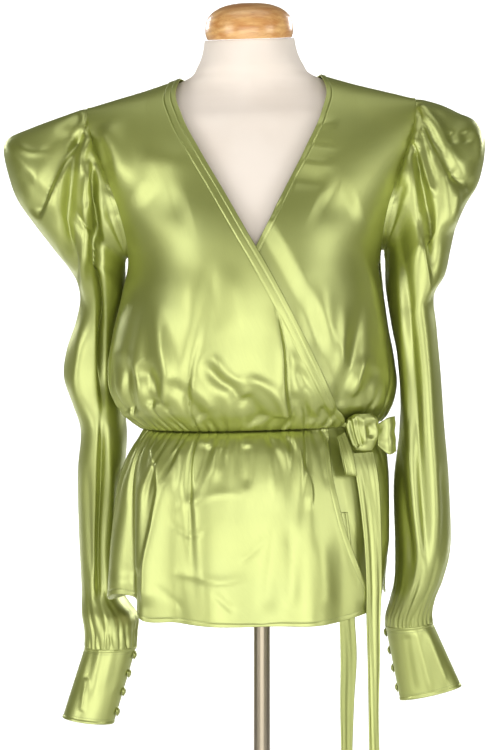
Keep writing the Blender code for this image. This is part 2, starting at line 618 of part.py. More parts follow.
def peplum():
    """The peplum's two fronts and its back, gathered at the waist."""
    def right_side(height):
        return -math.pi / 2

    def left_side(height):
        return math.pi / 2

    def right_edge(height):
        return float(angle_at(np.array(table_curve(PEPLUM_EDGE, height)), height))

    def left_edge(height):
        down = (WAIST - height) / (WAIST - HEM_FRONT)
        return -right_edge(height) * (1 - HIDDEN_EDGE_TAPER * down)

    def right_side_behind(height):
        return 1.5 * math.pi

    panels = (
        ("peplum_right_front", right_side, right_edge, -SEAM_GAP / 2, False),
        ("peplum_left_front", left_edge, left_side, -SEAM_GAP / 2, True),
        ("peplum_back", left_side, right_side_behind, SEAM_GAP / 2, False),
    )
    for name, start, end, shift_y, under in panels:
        rows = [peplum_row(v, SEAM_COLUMNS, start, end, shift_y, under, True)
                for v in PEPLUM_SEAM_ROWS]
        rows += [peplum_row(v, PEPLUM_COLUMNS, start, end, shift_y, under, False)
                 for v in PEPLUM_ROWS]
        cloth_solid(name, rows)


def oval(angle, outer, inner, centre_y, half_depth, square):
    """Section of a sleeve or cuff: an oval between an outer and an inner point (x, z)."""
    across = np.sign(np.cos(angle)) * np.abs(np.cos(angle)) ** (2 / square)
    fore = np.sign(np.sin(angle)) * np.abs(np.sin(angle)) ** (2 / square)
    middle = (np.asarray(outer) + np.asarray(inner)) / 2
    half = (np.asarray(outer) - np.asarray(inner)) / 2
    return np.stack([middle[0] + half[0] * across, centre_y - half_depth * fore,
                     middle[1] + half[1] * across], -1)


def armhole_ring(side):
    """The sleeve's first ring: the bodice's own armhole points, moved just outside the seam.

    Every second point is a corner of the bodice rows, and the others lie halfway between.
    """
    turns = np.linspace(0, 2 * math.pi, 2 * ARMHOLE_ROWS, endpoint=False)
    height = ARMPIT + (SHOULDER_TOP - ARMPIT) * (1 + np.cos(turns)) / 2
    around = armhole_angle(height)
    front = turns <= math.pi
    corners, _ = body_point(side * np.where(front, around, math.pi - around), height)
    corners[0, 1] = 0
    ring = np.empty((SLEEVE_COLUMNS, 3))
    ring[0::2] = corners
    ring[1::2] = (corners + np.roll(corners, -1, axis=0)) / 2
    ring[:, 0] += side * SEAM_GAP
    return ring


def sleeve_fold_height(folds, section, angle, narrow):
    """Sum of a sleeve's long folds: a bell across each, eased in and out along it.

    narrow is the section's smaller half width, which a fold may only press in by a part of.
    """
    total = np.zeros(np.shape(angle))
    for depth, width, *path in folds:
        places = [p[0] for p in path]
        if places[0] <= section <= places[-1]:
            centre = math.radians(float(smooth(section, places, [p[1] for p in path])))
            since = section - places[0] + SLEEVE_FOLD_START
            left = places[-1] - section + SLEEVE_FOLD_START
            fade = ease(since / SLEEVE_FOLD_EASE) * ease(left / SLEEVE_FOLD_EASE)
            pressed = min(depth, FOLD_SHARE * narrow)
            total -= pressed * fade * bumps(angle, centre, math.radians(width))
    return total


def sleeve(name, side, table, folds, cuff_edges):
    """A sleeve from its armhole to its cuff, with the gathers that the cuff takes in."""
    angle = np.linspace(0, 2 * math.pi, SLEEVE_COLUMNS, endpoint=False)
    rings = [armhole_ring(side)]
    halves = [WALL]
    for outer_x, outer_z, inner_x, inner_z, centre_y, half_depth, square in table:
        rings.append(oval(angle, (side * outer_x, outer_z), (side * inner_x, inner_z), centre_y,
                          half_depth, square))
        halves.append(math.hypot(outer_x - inner_x, outer_z - inner_z) / 2)
    rings.append(cuff_ring(angle, side, cuff_edges, 0.0) + np.array([0, 0, SEAM_GAP]))
    halves.append(WALL)
    grid = np.array(rings)
    around = np.roll(grid, -1, axis=1) - np.roll(grid, 1, axis=1)
    along = np.gradient(grid, axis=0)
    normal = unit(np.cross(around, along)) * side
    normal[0, :, 0] = side * np.minimum(side * normal[0, :, 0], 0)
    rows = []
    last = len(grid) - 1
    for k, ring in enumerate(grid):
        lift = sleeve_fold_height(folds, k, angle, halves[k])
        if k == last - 1:
            lift = lift + CUFF_GATHER * np.where(np.arange(SLEEVE_COLUMNS) % 2 == 0, 1, -1)
        outer = ring + normal[k] * lift[:, None]
        rows.append((outer, outer - normal[k] * WALL))
    cloth_solid(name, rows, tube=True, flip=side > 0)


def cuff_ring(angle, side, edges, t):
    """The cuff's oval at a share t of the way from its top edge to its bottom edge."""
    top, bottom = np.array(edges[0]), np.array(edges[1])
    outer_x, outer_z, inner_x, inner_z, centre_y, half_depth = top + (bottom - top) * t
    return oval(angle, (side * outer_x, outer_z), (side * inner_x, inner_z), centre_y,
                half_depth, 2.0)


def cuff(name, side, edges, button_angle):
    """A deep cuff and the covered buttons down its opening."""
    angle = np.linspace(0, 2 * math.pi, CUFF_COLUMNS, endpoint=False)
    rows = []
    for t in CUFF_ROWS:
        ring = cuff_ring(angle, side, edges, t)
        centre = ring.mean(axis=0)
        away = unit((ring - centre) * np.array([1.0, 1.0, 0.0]))
        rows.append((ring, ring - away * CUFF_WALL))
    cloth_solid(name, rows, tube=True, flip=side > 0)
    for number, t in enumerate(BUTTON_ROWS, 1):
        spot = cuff_ring(np.array([button_angle]), side, edges, t)[0]
        centre = cuff_ring(angle, side, edges, t).mean(axis=0)
        away = unit((spot - centre) * np.array([1.0, 1.0, 0.0]))
        button(f"{name}_button_{number}", spot + away * SEAM_GAP, away)


def button(name, seat, away):
    """A covered button: a low dome turned about its own axis, standing on its flat back."""
    turns = np.linspace(0, 2 * math.pi, BUTTON_SIDES, endpoint=False)
    across = unit(np.cross(away, (0, 0, 1.0)))
    up = np.cross(across, away)
    seat = seat + away * BUTTON_STAND
    points = [seat]
    for radius, rise in BUTTON_PROFILE:
        ring = (across * np.cos(turns)[:, None] + up * np.sin(turns)[:, None]) * radius
        points.extend(seat + ring * BUTTON_RADIUS + away * rise * BUTTON_HEIGHT)
    points.append(seat + away * BUTTON_HEIGHT)
    count = len(turns)
    faces = []
    for j in range(count):
        after = (j + 1) % count
        faces.append((0, 1 + j, 1 + after))
        for ring in range(len(BUTTON_PROFILE) - 1):
            low, high = 1 + ring * count, 1 + (ring + 1) * count
            faces.append((low + j, high + j, high + after))
            faces.append((low + j, high + after, low + after))
        faces.append((len(points) - 1, 1 + (len(BUTTON_PROFILE) - 1) * count + after,
                      1 + (len(BUTTON_PROFILE) - 1) * count + j))
    add_mesh(name, points, faces, SATIN)


def turned(name, profile, finish, segments=TURNED_SEGMENTS, centre=(0, 0, 0), tip=0.0, lean=False):
    """A piece turned about a vertical axis from (radius, height) pairs, bottom to top.

    tip is the angle by which its axis then leans towards the front.
    """
    turns = np.linspace(0, 2 * math.pi, segments, endpoint=False)
    points = [(0, 0, profile[0][1])]
    for radius, height in profile:
        points.extend((radius * math.cos(t), radius * math.sin(t), height) for t in turns)
    points.append((0, 0, profile[-1][1]))
    faces = []
    for j in range(segments):
        after = (j + 1) % segments
        faces.append((0, 1 + after, 1 + j))
        for ring in range(len(profile) - 1):
            low, high = 1 + ring * segments, 1 + (ring + 1) * segments
            faces.append((low + j, low + after, high + after, high + j))
        top = 1 + (len(profile) - 1) * segments
        faces.append((len(points) - 1, top + j, top + after))
    placed = np.array(points)
    y = placed[:, 1].copy()
    z = placed[:, 2].copy()
    placed[:, 1] = y * math.cos(tip) - z * math.sin(tip)
    placed[:, 2] = z * math.cos(tip) + y * math.sin(tip)
    add_mesh(name, placed + np.array(centre), faces, finish, lean)


def dress_form():
    """The padded torso, its neck cap, the pole and the base."""
    turns = np.linspace(0, 2 * math.pi, FORM_COLUMNS, endpoint=False)
    rings = []
    for height, half, front, back, centre_y, square in FORM:
        depth = np.where(np.cos(turns) > 0, front, back)
        side = np.sign(np.sin(turns)) * np.abs(np.sin(turns)) ** (2 / square)
        fore = np.sign(np.cos(turns)) * np.abs(np.cos(turns)) ** (2 / square)
        y = centre_y - depth * fore
        tip = ease((height - TIP_FROM) / (FORM[-1][0] - TIP_FROM))
        rings.append(np.stack([half * side, y, height + y * math.tan(CAP_TILT) * tip], -1))
    points = leaned(np.concatenate(rings))
    points[:FORM_COLUMNS, 2] = FORM[0][0]
    faces = [tuple(reversed(range(FORM_COLUMNS)))]
    for k in range(len(rings) - 1):
        low, high = k * FORM_COLUMNS, (k + 1) * FORM_COLUMNS
        for j in range(FORM_COLUMNS):
            after = (j + 1) % FORM_COLUMNS
            faces.append((low + j, low + after, high + after, high + j))
    faces.append(tuple(range(high, high + FORM_COLUMNS)))
    add_mesh("form_torso", points, faces, FORM_CLOTH, lean=False)
    cap_profile = [(CAP_RADIUS * radius, CAP_HEIGHT * height) for radius, height in CAP_PROFILE]
    turned("form_neck_cap", cap_profile, WOOD, centre=(0, 0, CAP_SEAT), tip=CAP_TILT, lean=True)
    pole_bottom = BASE_HEIGHT + SEAM_GAP
    turned("form_pole", ((POLE_RADIUS, pole_bottom), (POLE_RADIUS, FORM[0][0] - SEAM_GAP)), STEEL,
           segments=POLE_SEGMENTS)
    base_profile = [(BASE_RADIUS * radius, BASE_HEIGHT * height)
                    for radius, height in BASE_PROFILE]
    turned("form_base", base_profile, STEEL)


def strip(name, rows, wall):
    """A flat strip of cloth through rows of (left edge, right edge)."""
    edges = np.array(rows)
    share = np.linspace(0, 1, TIE_COLUMNS)[:, None]
    grid = edges[:, None, 0] * (1 - share) + edges[:, None, 1] * share
    along = np.gradient(grid, axis=0)
    across = np.broadcast_to(edges[:, None, 1] - edges[:, None, 0], grid.shape)
    normal = unit(np.cross(along, across))
    cloth_solid(name, [(row, row + back * wall) for row, back in zip(grid, normal)], flip=True)


def tie():
    """The self-fabric tie at the wearer's left waist: knot, two loops and two tails."""
    strip("tie_tail_front", TIE_TAIL_FRONT, TIE_WALL)
    strip("tie_loop_lower", TIE_LOOP_LOWER, TIE_WALL)
    strip("tie_loop_side", TIE_LOOP_SIDE, TIE_WALL)
    rows = []
    for height, middle, half in TIE_TAIL_BACK:
        x = np.array([middle - half, middle + half])
        on_peplum = max(height, HEM_FRONT)
        angle = angle_at(x, on_peplum)
        base, _ = body_point(angle, np.full(2, on_peplum))
        level, _ = body_normal(angle, np.full(2, on_peplum))
        placed = base + level * (flute_height(angle, np.full(2, on_peplum)) + TAIL_BACK_LIFT)[:, None]
        placed[:, 2] = height
        rows.append(placed)
    strip("tie_tail_back", rows, TAIL_BACK_WALL)
    turns = np.linspace(0, 2 * math.pi, KNOT_COLUMNS, endpoint=False)
    points = []
    for height, x, y, half_width, half_depth in TIE_KNOT:
        points.extend((x + half_width * math.sin(t), y - half_depth * math.cos(t), height)
                      for t in turns)
    faces = [tuple(reversed(range(KNOT_COLUMNS)))]
    for low in range(0, len(points) - KNOT_COLUMNS, KNOT_COLUMNS):
        high = low + KNOT_COLUMNS
        for j in range(KNOT_COLUMNS):
            after = (j + 1) % KNOT_COLUMNS
            faces.append((low + j, low + after, high + after, high + j))
    faces.append(tuple(range(len(points) - KNOT_COLUMNS, len(points))))
    add_mesh("tie_knot", points, faces, SATIN)


dress_form()
bodice()
peplum()
sleeve("right_sleeve", -1, RIGHT_SLEEVE, RIGHT_SLEEVE_FOLDS, RIGHT_CUFF)
sleeve("left_sleeve", 1, LEFT_SLEEVE, LEFT_SLEEVE_FOLDS, LEFT_CUFF)
cuff("right_cuff", -1, RIGHT_CUFF, math.radians(168))
cuff("left_cuff", 1, LEFT_CUFF, math.radians(192))
tie()
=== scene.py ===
# %% [markdown]
# # A satin wrap blouse on a dress form
#
# This lesson dresses the solids of a long-sleeve wrap blouse. The real one is cut from lime
# green satin: two fronts that cross over, a back, full sleeves gathered into winged shoulders
# and deep cuffs, and a short peplum below an elasticated waist. It stands on a padded form with
# a wooden neck cap and a steel pole. Every cloth piece below is a surface worked out with numpy
# from the same named sizes as the solids, with the folds drawn on it, and gets its thickness last.

# %% Load the frame
import math

import bpy
import numpy as np
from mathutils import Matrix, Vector


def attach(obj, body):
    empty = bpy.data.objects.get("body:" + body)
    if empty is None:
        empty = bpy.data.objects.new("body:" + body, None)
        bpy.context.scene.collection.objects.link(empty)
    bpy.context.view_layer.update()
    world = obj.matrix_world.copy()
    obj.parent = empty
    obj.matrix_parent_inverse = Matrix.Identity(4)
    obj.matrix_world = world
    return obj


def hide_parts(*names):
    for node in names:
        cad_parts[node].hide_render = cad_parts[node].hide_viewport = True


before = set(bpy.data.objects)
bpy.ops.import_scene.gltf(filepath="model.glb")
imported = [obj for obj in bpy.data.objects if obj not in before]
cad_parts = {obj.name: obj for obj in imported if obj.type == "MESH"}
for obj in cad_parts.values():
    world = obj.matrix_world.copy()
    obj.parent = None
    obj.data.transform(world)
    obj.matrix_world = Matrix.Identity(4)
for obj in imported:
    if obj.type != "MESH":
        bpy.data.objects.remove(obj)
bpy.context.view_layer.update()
MM = 0.001

# %% [markdown]
# ## Curves through tables
#
# A pattern maker measures a garment at a few heights and draws smooth lines through the marks.
# The helpers below do the same: a table holds the marks, and a cubic Hermite curve runs through
# them. They take whole arrays, so one call gives a line or a surface.

# %% Curve helpers
def smooth(at, knots, values):
    """A curve through the knots: on each stretch the cubic with the knots' mean slopes."""
    knots = np.asarray(knots, float)
    values = np.asarray(values, float)
    if knots[0] > knots[-1]:
        knots, values = knots[::-1], values[::-1]
    slopes = np.gradient(values, knots, axis=0)
    at = np.clip(at, knots[0], knots[-1])
    piece = np.clip(np.searchsorted(knots, at, side="right") - 1, 0, len(knots) - 2)
    span = knots[piece + 1] - knots[piece]
    t = (at - knots[piece]) / span
    extra = (1,) * (values.ndim - 1)
    span = span.reshape(span.shape + extra)
    t = t.reshape(t.shape + extra)
    start = (1 + 2 * t) * (1 - t) ** 2 * values[piece] + t * (1 - t) ** 2 * span * slopes[piece]
    end = t * t * (3 - 2 * t) * values[piece + 1] + t * t * (t - 1) * span * slopes[piece + 1]
    return start + end


def table_curve(table, at, column=1):
    """Read a column of a table smoothly, with its first column as the place."""
    at = np.asarray(at, float)
    return smooth(at, [row[0] for row in table], [row[column] for row in table])


def ease(t):
    """0 below 0, 1 above 1 and 3t^2 - 2t^3 between."""
    t = np.clip(t, 0.0, 1.0)
    return t * t * (3 - 2 * t)


def unit(vectors):
    """Vectors divided by their length."""
    return vectors / np.maximum(np.linalg.norm(vectors, axis=-1, keepdims=True), 1e-12)


LEAN = math.radians(1.7)
LEAN_HEIGHT = 0.95


def leaned(points):
    """Turn upright points about the Y axis, at the lean's height, as the form stands."""
    x, y, z = np.moveaxis(np.asarray(points, float), -1, 0)
    rise = z - LEAN_HEIGHT
    return np.stack([x * math.cos(LEAN) - rise * math.sin(LEAN), y,
                     LEAN_HEIGHT + x * math.sin(LEAN) + rise * math.cos(LEAN)], -1)


print("lean of the form, degrees:", round(math.degrees(LEAN), 1))

# %% [markdown]
# ## From a grid of points to a mesh
#
# A sheet of cloth is a grid: rows run down the piece and columns run across it. Each small
# square of the grid becomes a face. A tube, such as a sleeve, joins its last column to its
# first. Two UV maps go with it. The first measures the cloth in metres, so that the weave keeps
# its size, and the second holds the distance from the sewn edge and the place along it, so that
# stitches follow that edge.

# %% Mesh helpers
def grid_faces(rows, columns, tube):
    """Corner numbers of the faces of a grid, one row of four for each square."""
    across = columns if tube else columns - 1
    row, column = np.meshgrid(np.arange(rows - 1), np.arange(across), indexing="ij")
    after = (column + 1) % columns
    corners = (row * columns + column, (row + 1) * columns + column,
               (row + 1) * columns + after, row * columns + after)
    return np.stack([corner.ravel() for corner in corners], -1)


def mesh_object(name, points, faces, finish):
    """An object at the origin whose mesh holds the points and the faces."""
    mesh = bpy.data.meshes.new(name)
    mesh.vertices.add(len(points))
    mesh.vertices.foreach_set("co", np.asarray(points, np.float32).ravel())
    faces = np.asarray(faces, np.int32)
    mesh.loops.add(faces.size)
    mesh.loops.foreach_set("vertex_index", faces.ravel())
    mesh.polygons.add(len(faces))
    starts = np.arange(0, faces.size, faces.shape[1], dtype=np.int32)
    mesh.polygons.foreach_set("loop_start", starts)
    mesh.update(calc_edges=True)
    mesh.shade_smooth()
    mesh.materials.append(finish)
    made = bpy.data.objects.new(name, mesh)
    bpy.context.scene.collection.objects.link(made)
    return made


def measured(grid, axis):
    """Distance along a grid in metres: its median steps, added up."""
    step = np.linalg.norm(np.diff(grid, axis=axis), axis=-1)
    step = np.median(step, axis=1 - axis)
    return np.concatenate([[0.0], np.cumsum(step)])


def surface_normals(grid, tube=False):
    """Unit cross product of the steps down and across the grid: outwards for our pieces."""
    down = np.gradient(grid, axis=0)
    if tube:
        across = np.roll(grid, -1, axis=1) - np.roll(grid, 1, axis=1)
    else:
        across = np.gradient(grid, axis=1)
    return unit(np.cross(down, across))


def cloth_piece(name, grid, wall, finish, tube=False, flip=False, edge=None):
    """A grid of points as a sheet of cloth with a wall that grows inwards.

    A tube's first column is repeated as its last one for the UV maps only, so that the cloth's
    length around it is measured through the seam. Without edge distances nothing is stitched.
    """
    rows, columns = grid.shape[:2]
    joined = grid
    if tube:
        joined = np.concatenate([grid, grid[:, :1]], axis=1)
        edge = np.concatenate([edge, edge[:, :1]], axis=1)
    across, down = measured(joined, 1)[None, :], measured(joined, 0)[:, None]
    uv = np.stack(np.broadcast_arrays(across, down), -1)
    layers = {"cloth": uv, "edge": np.ones(uv.shape) if edge is None else edge}
    corners = grid_faces(rows, joined.shape[1], False)
    if flip:
        corners = corners[:, ::-1]
    row, column = np.divmod(corners, joined.shape[1])
    faces = row * columns + column % columns
    made = mesh_object(name, leaned(grid.reshape(-1, 3)), faces, finish)
    for layer, values in layers.items():
        flat = values.reshape(-1, 2)[corners.ravel()]
        made.data.uv_layers.new(name=layer).data.foreach_set("uv", flat.astype(np.float32).ravel())
    thick = made.modifiers.new("wall", "SOLIDIFY")
    thick.thickness = wall
    thick.offset = -1
    return made


print("helpers ready")

# %% [markdown]
# ## The body of the blouse
#
# The cloth around the body is a stack of rounded sections. Each row below gives a height, the
# half width on both sides, the depth to the front and to the back, and how square the section
# is. Satin blouses out above the elastic and flares below it, so the narrowest row is the waist.

# %% Body measurements
WALL = 1.2 * MM
WAIST = 0.998
ARMPIT = 1.200
HEM_FRONT = 0.774
SHOULDER_ROUND = 0.12
RIDGE = 0.2 * MM
UNDERLAP = 6.0 * MM
PEPLUM_UNDERLAP = 7.0 * MM
UNDERLAP_START = 0.012
UNDERLAP_FADE = 0.026

# height, half width right and left, depth front and back, squareness
BODY = (
    (1.420, 0.215, 0.215, 0.085, 0.092, 2.0),
    (1.350, 0.210, 0.210, 0.088, 0.096, 2.0),
    (1.300, 0.190, 0.190, 0.102, 0.104, 2.0),
    (1.250, 0.170, 0.168, 0.122, 0.110, 2.0),
    (1.200, 0.153, 0.150, 0.134, 0.113, 2.05),
    (1.160, 0.161, 0.151, 0.140, 0.114, 2.1),
    (1.110, 0.174, 0.156, 0.142, 0.115, 2.15),
    (1.067, 0.181, 0.162, 0.141, 0.115, 2.2),
    (1.037, 0.177, 0.162, 0.135, 0.112, 2.2),
    (1.018, 0.165, 0.155, 0.122, 0.104, 2.2),
    (1.006, 0.149, 0.146, 0.108, 0.095, 2.2),
    (WAIST, 0.140, 0.140, 0.101, 0.089, 2.2),
    (0.990, 0.144, 0.142, 0.104, 0.092, 2.2),
    (0.972, 0.157, 0.148, 0.113, 0.099, 2.25),
    (0.943, 0.171, 0.151, 0.124, 0.106, 2.3),
    (0.901, 0.179, 0.151, 0.132, 0.112, 2.35),
    (0.852, 0.185, 0.149, 0.137, 0.116, 2.4),
    (0.806, 0.188, 0.145, 0.140, 0.119, 2.4),
    (0.770, 0.189, 0.143, 0.141, 0.120, 2.4),
)
NECK_HALF = 0.083
NECK_TOP = 1.412
SHOULDER_HALF = 0.192
SHOULDER_TOP = 1.381
# distance from the centre, height
SHOULDER_LINE = ((0.000, 1.432), (NECK_HALF, NECK_TOP), (0.125, 1.399), (0.172, 1.3865),
                 (SHOULDER_HALF, SHOULDER_TOP), (0.230, 1.370))
# height, x of the right front's free edge
WRAP_EDGE = ((1.412, -0.083), (1.399, -0.088), (1.365, -0.081), (1.326, -0.062), (1.277, -0.035),
             (1.225, -0.007), (1.196, 0.009), (1.132, 0.041), (1.073, 0.068), (1.035, 0.084),
             (WAIST, 0.098))
# distance from the centre, height
BACK_NECK = ((0.000, 1.400), (0.040, 1.402), (0.068, 1.406), (0.083, 1.412))
# height, x of the right peplum's free edge
PEPLUM_EDGE = ((WAIST, 0.078), (0.948, 0.081), (0.892, 0.091), (0.849, 0.103), (0.815, 0.113),
               (0.774, 0.129))
# degrees around from the front, height
HEM = ((-180, 0.784), (-120, 0.786), (-92, 0.789), (-80, 0.797), (-66, 0.806), (-56, 0.800),
       (-48, 0.784), (-30, 0.779), (0, HEM_FRONT), (30, 0.774), (50, 0.780), (90, 0.788),
       (130, 0.786), (180, 0.784))
ARMHOLE_ANGLE = math.radians(66)
ARMHOLE_CURVE = 0.125
OUTLINE_STEP = 0.01


def shoulder_height(x):
    """Height of the shoulder seam at a distance from the centre."""
    return np.interp(np.abs(x), [p[0] for p in SHOULDER_LINE], [p[1] for p in SHOULDER_LINE])


def body_point(angle, height):
    """x = half sin(a)^(2/n), y = -depth cos(a)^(2/n), and a quarter round near the shoulder."""
    right, left, front, back, square = (table_curve(BODY, height, column) for column in range(1, 6))
    side, fore = np.sin(angle), np.cos(angle)
    half = np.where(side < 0, right, left)
    depth = np.where(fore > 0, front, back)
    x = np.sign(side) * half * np.abs(side) ** (2 / square)
    drop = np.clip((shoulder_height(x) - height - RIDGE) / SHOULDER_ROUND, 0, 1)
    roundness = np.sqrt(1 - (1 - drop) ** 2)
    y = -np.sign(fore) * depth * np.abs(fore) ** (2 / square) * roundness
    return np.stack([x, y, height + 0 * x], -1)


def level_normal(angle, height):
    """Unit vector that points straight out of the section, at right angles to its outline."""
    along = body_point(angle + OUTLINE_STEP, height) - body_point(angle - OUTLINE_STEP, height)
    return unit(np.stack([along[..., 1], -along[..., 0], 0 * along[..., 0]], -1))


def angle_at(x, height):
    """Angle around the body where its outline at this height has this x."""
    right, left, _, _, square = (table_curve(BODY, height, column) for column in range(1, 6))
    ratio = np.clip(np.abs(x) / np.where(x < 0, right, left), 0, 1)
    return np.sign(x) * np.arcsin(ratio ** (square / 2))


def turn_back(angle):
    """The same direction as an angle between -180 and 180 degrees."""
    return (angle + math.pi) % (2 * math.pi) - math.pi


def armhole_angle(height):
    """Angle of the armhole above the armpit, which eases into the side seam at 90 degrees."""
    rise = np.maximum(height - ARMPIT, 0) / (SHOULDER_TOP - ARMPIT)
    return ARMHOLE_ANGLE + (math.pi / 2 - ARMHOLE_ANGLE) * np.exp(-rise / ARMHOLE_CURVE)


waist_ring = body_point(np.linspace(0, 2 * math.pi, 200), np.full(200, WAIST))
waist_steps = np.linalg.norm(np.diff(waist_ring, axis=0), axis=1)
print("waist around, metres:", round(float(waist_steps.sum()), 3))

# %% [markdown]
# ## Folds drawn as strokes
#
# Satin shows every fold, because its floats of thread mirror the light. Simulated cloth would
# give folds of its own, but this blouse's folds are known, so they are drawn. A stroke is a
# path in the front view, in millimetres. The cloth rises or sinks along it by a bell whose width
# differs on its two sides, which makes one side soft and the other sharp.

# %% Strokes
def stroke_path(path, count=22):
    """Points evenly spread along a smooth curve through the path's points."""
    path = np.asarray(path, float)
    if len(path) < 3:
        return path[0] + (path[-1] - path[0]) * np.linspace(0, 1, count)[:, None]
    reach = np.concatenate([[0], np.cumsum(np.linalg.norm(np.diff(path, axis=0), axis=1))])
    return smooth(np.linspace(0, reach[-1], count), reach, path)


def stroke_height(x, z, strokes):
    """Sum over strokes of height * exp(-(distance / width)^2), faded towards both ends.

    Each stroke is (height, width below or left of it, width above or right of it, share that
    fades in, share that fades out, path), in millimetres, drawn rightwards or downwards.
    """
    total = np.zeros(x.shape)
    place = np.stack([x, z], -1) / MM
    for height, minus, plus, fade_in, fade_out, path in strokes:
        line = stroke_path(path)
        margin = 3 * max(minus, plus)
        low, high = line.min(axis=0) - margin, line.max(axis=0) + margin
        near = np.all((place > low) & (place < high), axis=-1)
        if not near.any():
            continue
        point = place[near][:, None, :]
        start, step = line[:-1], np.diff(line, axis=0)
        t = np.clip(np.sum((point - start) * step, -1) / np.sum(step * step, -1), 0, 1)
        away = point - start - t[..., None] * step
        gap = np.linalg.norm(away, axis=-1)
        best = np.argmin(gap, axis=1)
        pick = (np.arange(len(best)), best)
        direction = step[best]
        turn = direction[:, 0] * away[pick][:, 1] - direction[:, 1] * away[pick][:, 0]
        width = np.where(turn > 0, plus, minus)
        along = (best + t[pick]) / (len(line) - 1)
        fade = ease(along / max(fade_in, 0.01)) * ease((1 - along) / max(fade_out, 0.01))
        total[near] += height * MM * fade * np.exp(-((gap[pick] / width) ** 2))
    return total


GATHER_LIFT = 0.3
GATHER_SPREAD = 0.9
GATHER_START = 0.7


def row_of_gathers(seed, first, last, count, depth, reach):
    """Random gathers between two angles: centre, width, depth, reach and drift of each."""
    random = np.random.default_rng(seed)
    spacing = (last - first) / count
    centre = first + spacing * (np.arange(count) + 0.5 + random.uniform(-0.25, 0.25, count))
    width = spacing * random.uniform(0.14, 0.24, count)
    size = depth * random.uniform(0.5, 1.25, count)
    length = reach * np.exp(random.uniform(-1.0, 0.9, count))
    drift = random.uniform(-0.6, 0.6, count) * spacing
    return np.stack([centre, width, size, length, drift], -1)


def gather_height(angle, away, table):
    """Sum of the gathers: a narrow valley along each, which widens and fades from the seam."""
    _, _, mean_size, mean_length, _ = table.mean(axis=0)
    total = GATHER_LIFT * mean_size * np.exp(-away / mean_length) + 0 * angle
    for centre, width, size, length, drift in table:
        far = away / length
        spread = width * (1 + GATHER_SPREAD * far)
        bell = np.exp(-(((angle - centre - drift * far) / spread) ** 2))
        total -= size * bell * (GATHER_START + far) * np.exp(-far)
    return total


def spring(away, height, rise, fall, held):
    """How far gathered cloth springs out of its seam: h (1 - k exp(-d / rise)) exp(-d / fall)."""
    return height * (1 - held * np.exp(-away / rise)) * np.exp(-away / fall)


GATHERS = row_of_gathers(7, -math.pi, math.pi, 70, 5.2 * MM, 0.016)
print("gathers around the waist:", len(GATHERS))

# %% [markdown]
# ## The two crossed fronts and the back
#
# Each front runs from its armhole and side seam to a free edge that slants across the body. The
# wearer's right front laps over the left one. The parameter u goes from the side to the free
# edge and v from the shoulder to the waist, and both are spaced more closely where the cloth
# is sewn or turned. Along the free edge the cloth is folded under and stitched.

# %% Fold strokes of the bodice
# height, width below or left, width above or right, share that fades in, share that fades out, path
RIGHT_FRONT_FOLDS = (
    (5.5, 12, 9, 0.5, 0.1, ((-119, 1159), (-111, 1101), (-106, 1066), (-113, 1026))),
    (-2.6, 5, 8, 0.3, 0.1, ((-101, 1066), (-106, 1022))),
    (-8.0, 12, 12, 0.35, 0.1, ((-165, 1095), (-158, 1059), (-151, 1015))),
    (2.4, 4, 5, 0.3, 0.2, ((-150, 1090), (-143, 1057), (-139, 1019))),
    (-7.0, 11, 11, 0.3, 0.1, ((-141, 1082), (-124, 1052), (-123, 1028))),
    (-5.0, 8, 8, 0.3, 0.1, ((-103, 1063), (-86, 1038), (-67, 1012))),
    (2.0, 7, 6, 0.3, 0.2, ((-84, 1062), (-66, 1040), (-50, 1022))),
    (-5.0, 8, 7, 0.3, 0.2, ((-68, 1087), (-47, 1060), (-31, 1048), (-23, 1026))),
    (2.2, 6, 6, 0.3, 0.2, ((-54, 1092), (-36, 1066), (-16, 1055))),
    (3.4, 6, 8, 0.3, 0.1, ((-25, 1048), (-11, 1058), (8, 1051), (26, 1029), (32, 1012))),
    (-7.0, 11, 11, 0.2, 0.1, ((-20, 1042), (-10, 1027), (0, 1008))),
    (5.5, 16, 2.4, 0.5, 0.05, ((17, 1151), (27, 1091), (28, 1049), (32, 1014))),
    (-2.2, 2.0, 5, 0.4, 0.05, ((21, 1151), (31, 1091), (32, 1049), (36, 1014))),
    (2.8, 6, 6, 0.3, 0.1, ((34, 1099), (48, 1059), (74, 1019))),
    (-4.5, 6, 6, 0.3, 0.1, ((37, 1082), (60, 1042), (78, 1006))),
    (-3.2, 7, 6, 0.3, 0.1, ((36, 1045), (47, 1028), (60, 1006))),
    (4.5, 9, 15, 0.2, 0.4, ((-178, 1362), (-163, 1330), (-156, 1277))),
    (2.2, 16, 16, 0.4, 0.4, ((-141, 1309), (-104, 1316), (-65, 1307))),
    (-3.0, 24, 24, 0.3, 0.3, ((-135, 1285), (-105, 1262), (-75, 1268))),
    (1.2, 12, 12, 0.4, 0.3, ((-79, 1197), (-77, 1142), (-70, 1101))),
    (1.2, 12, 12, 0.4, 0.3, ((-32, 1196), (-22, 1141), (-21, 1108))),
    (-1.0, 9, 9, 0.4, 0.3, ((-55, 1200), (-50, 1150), (-46, 1110))),
)
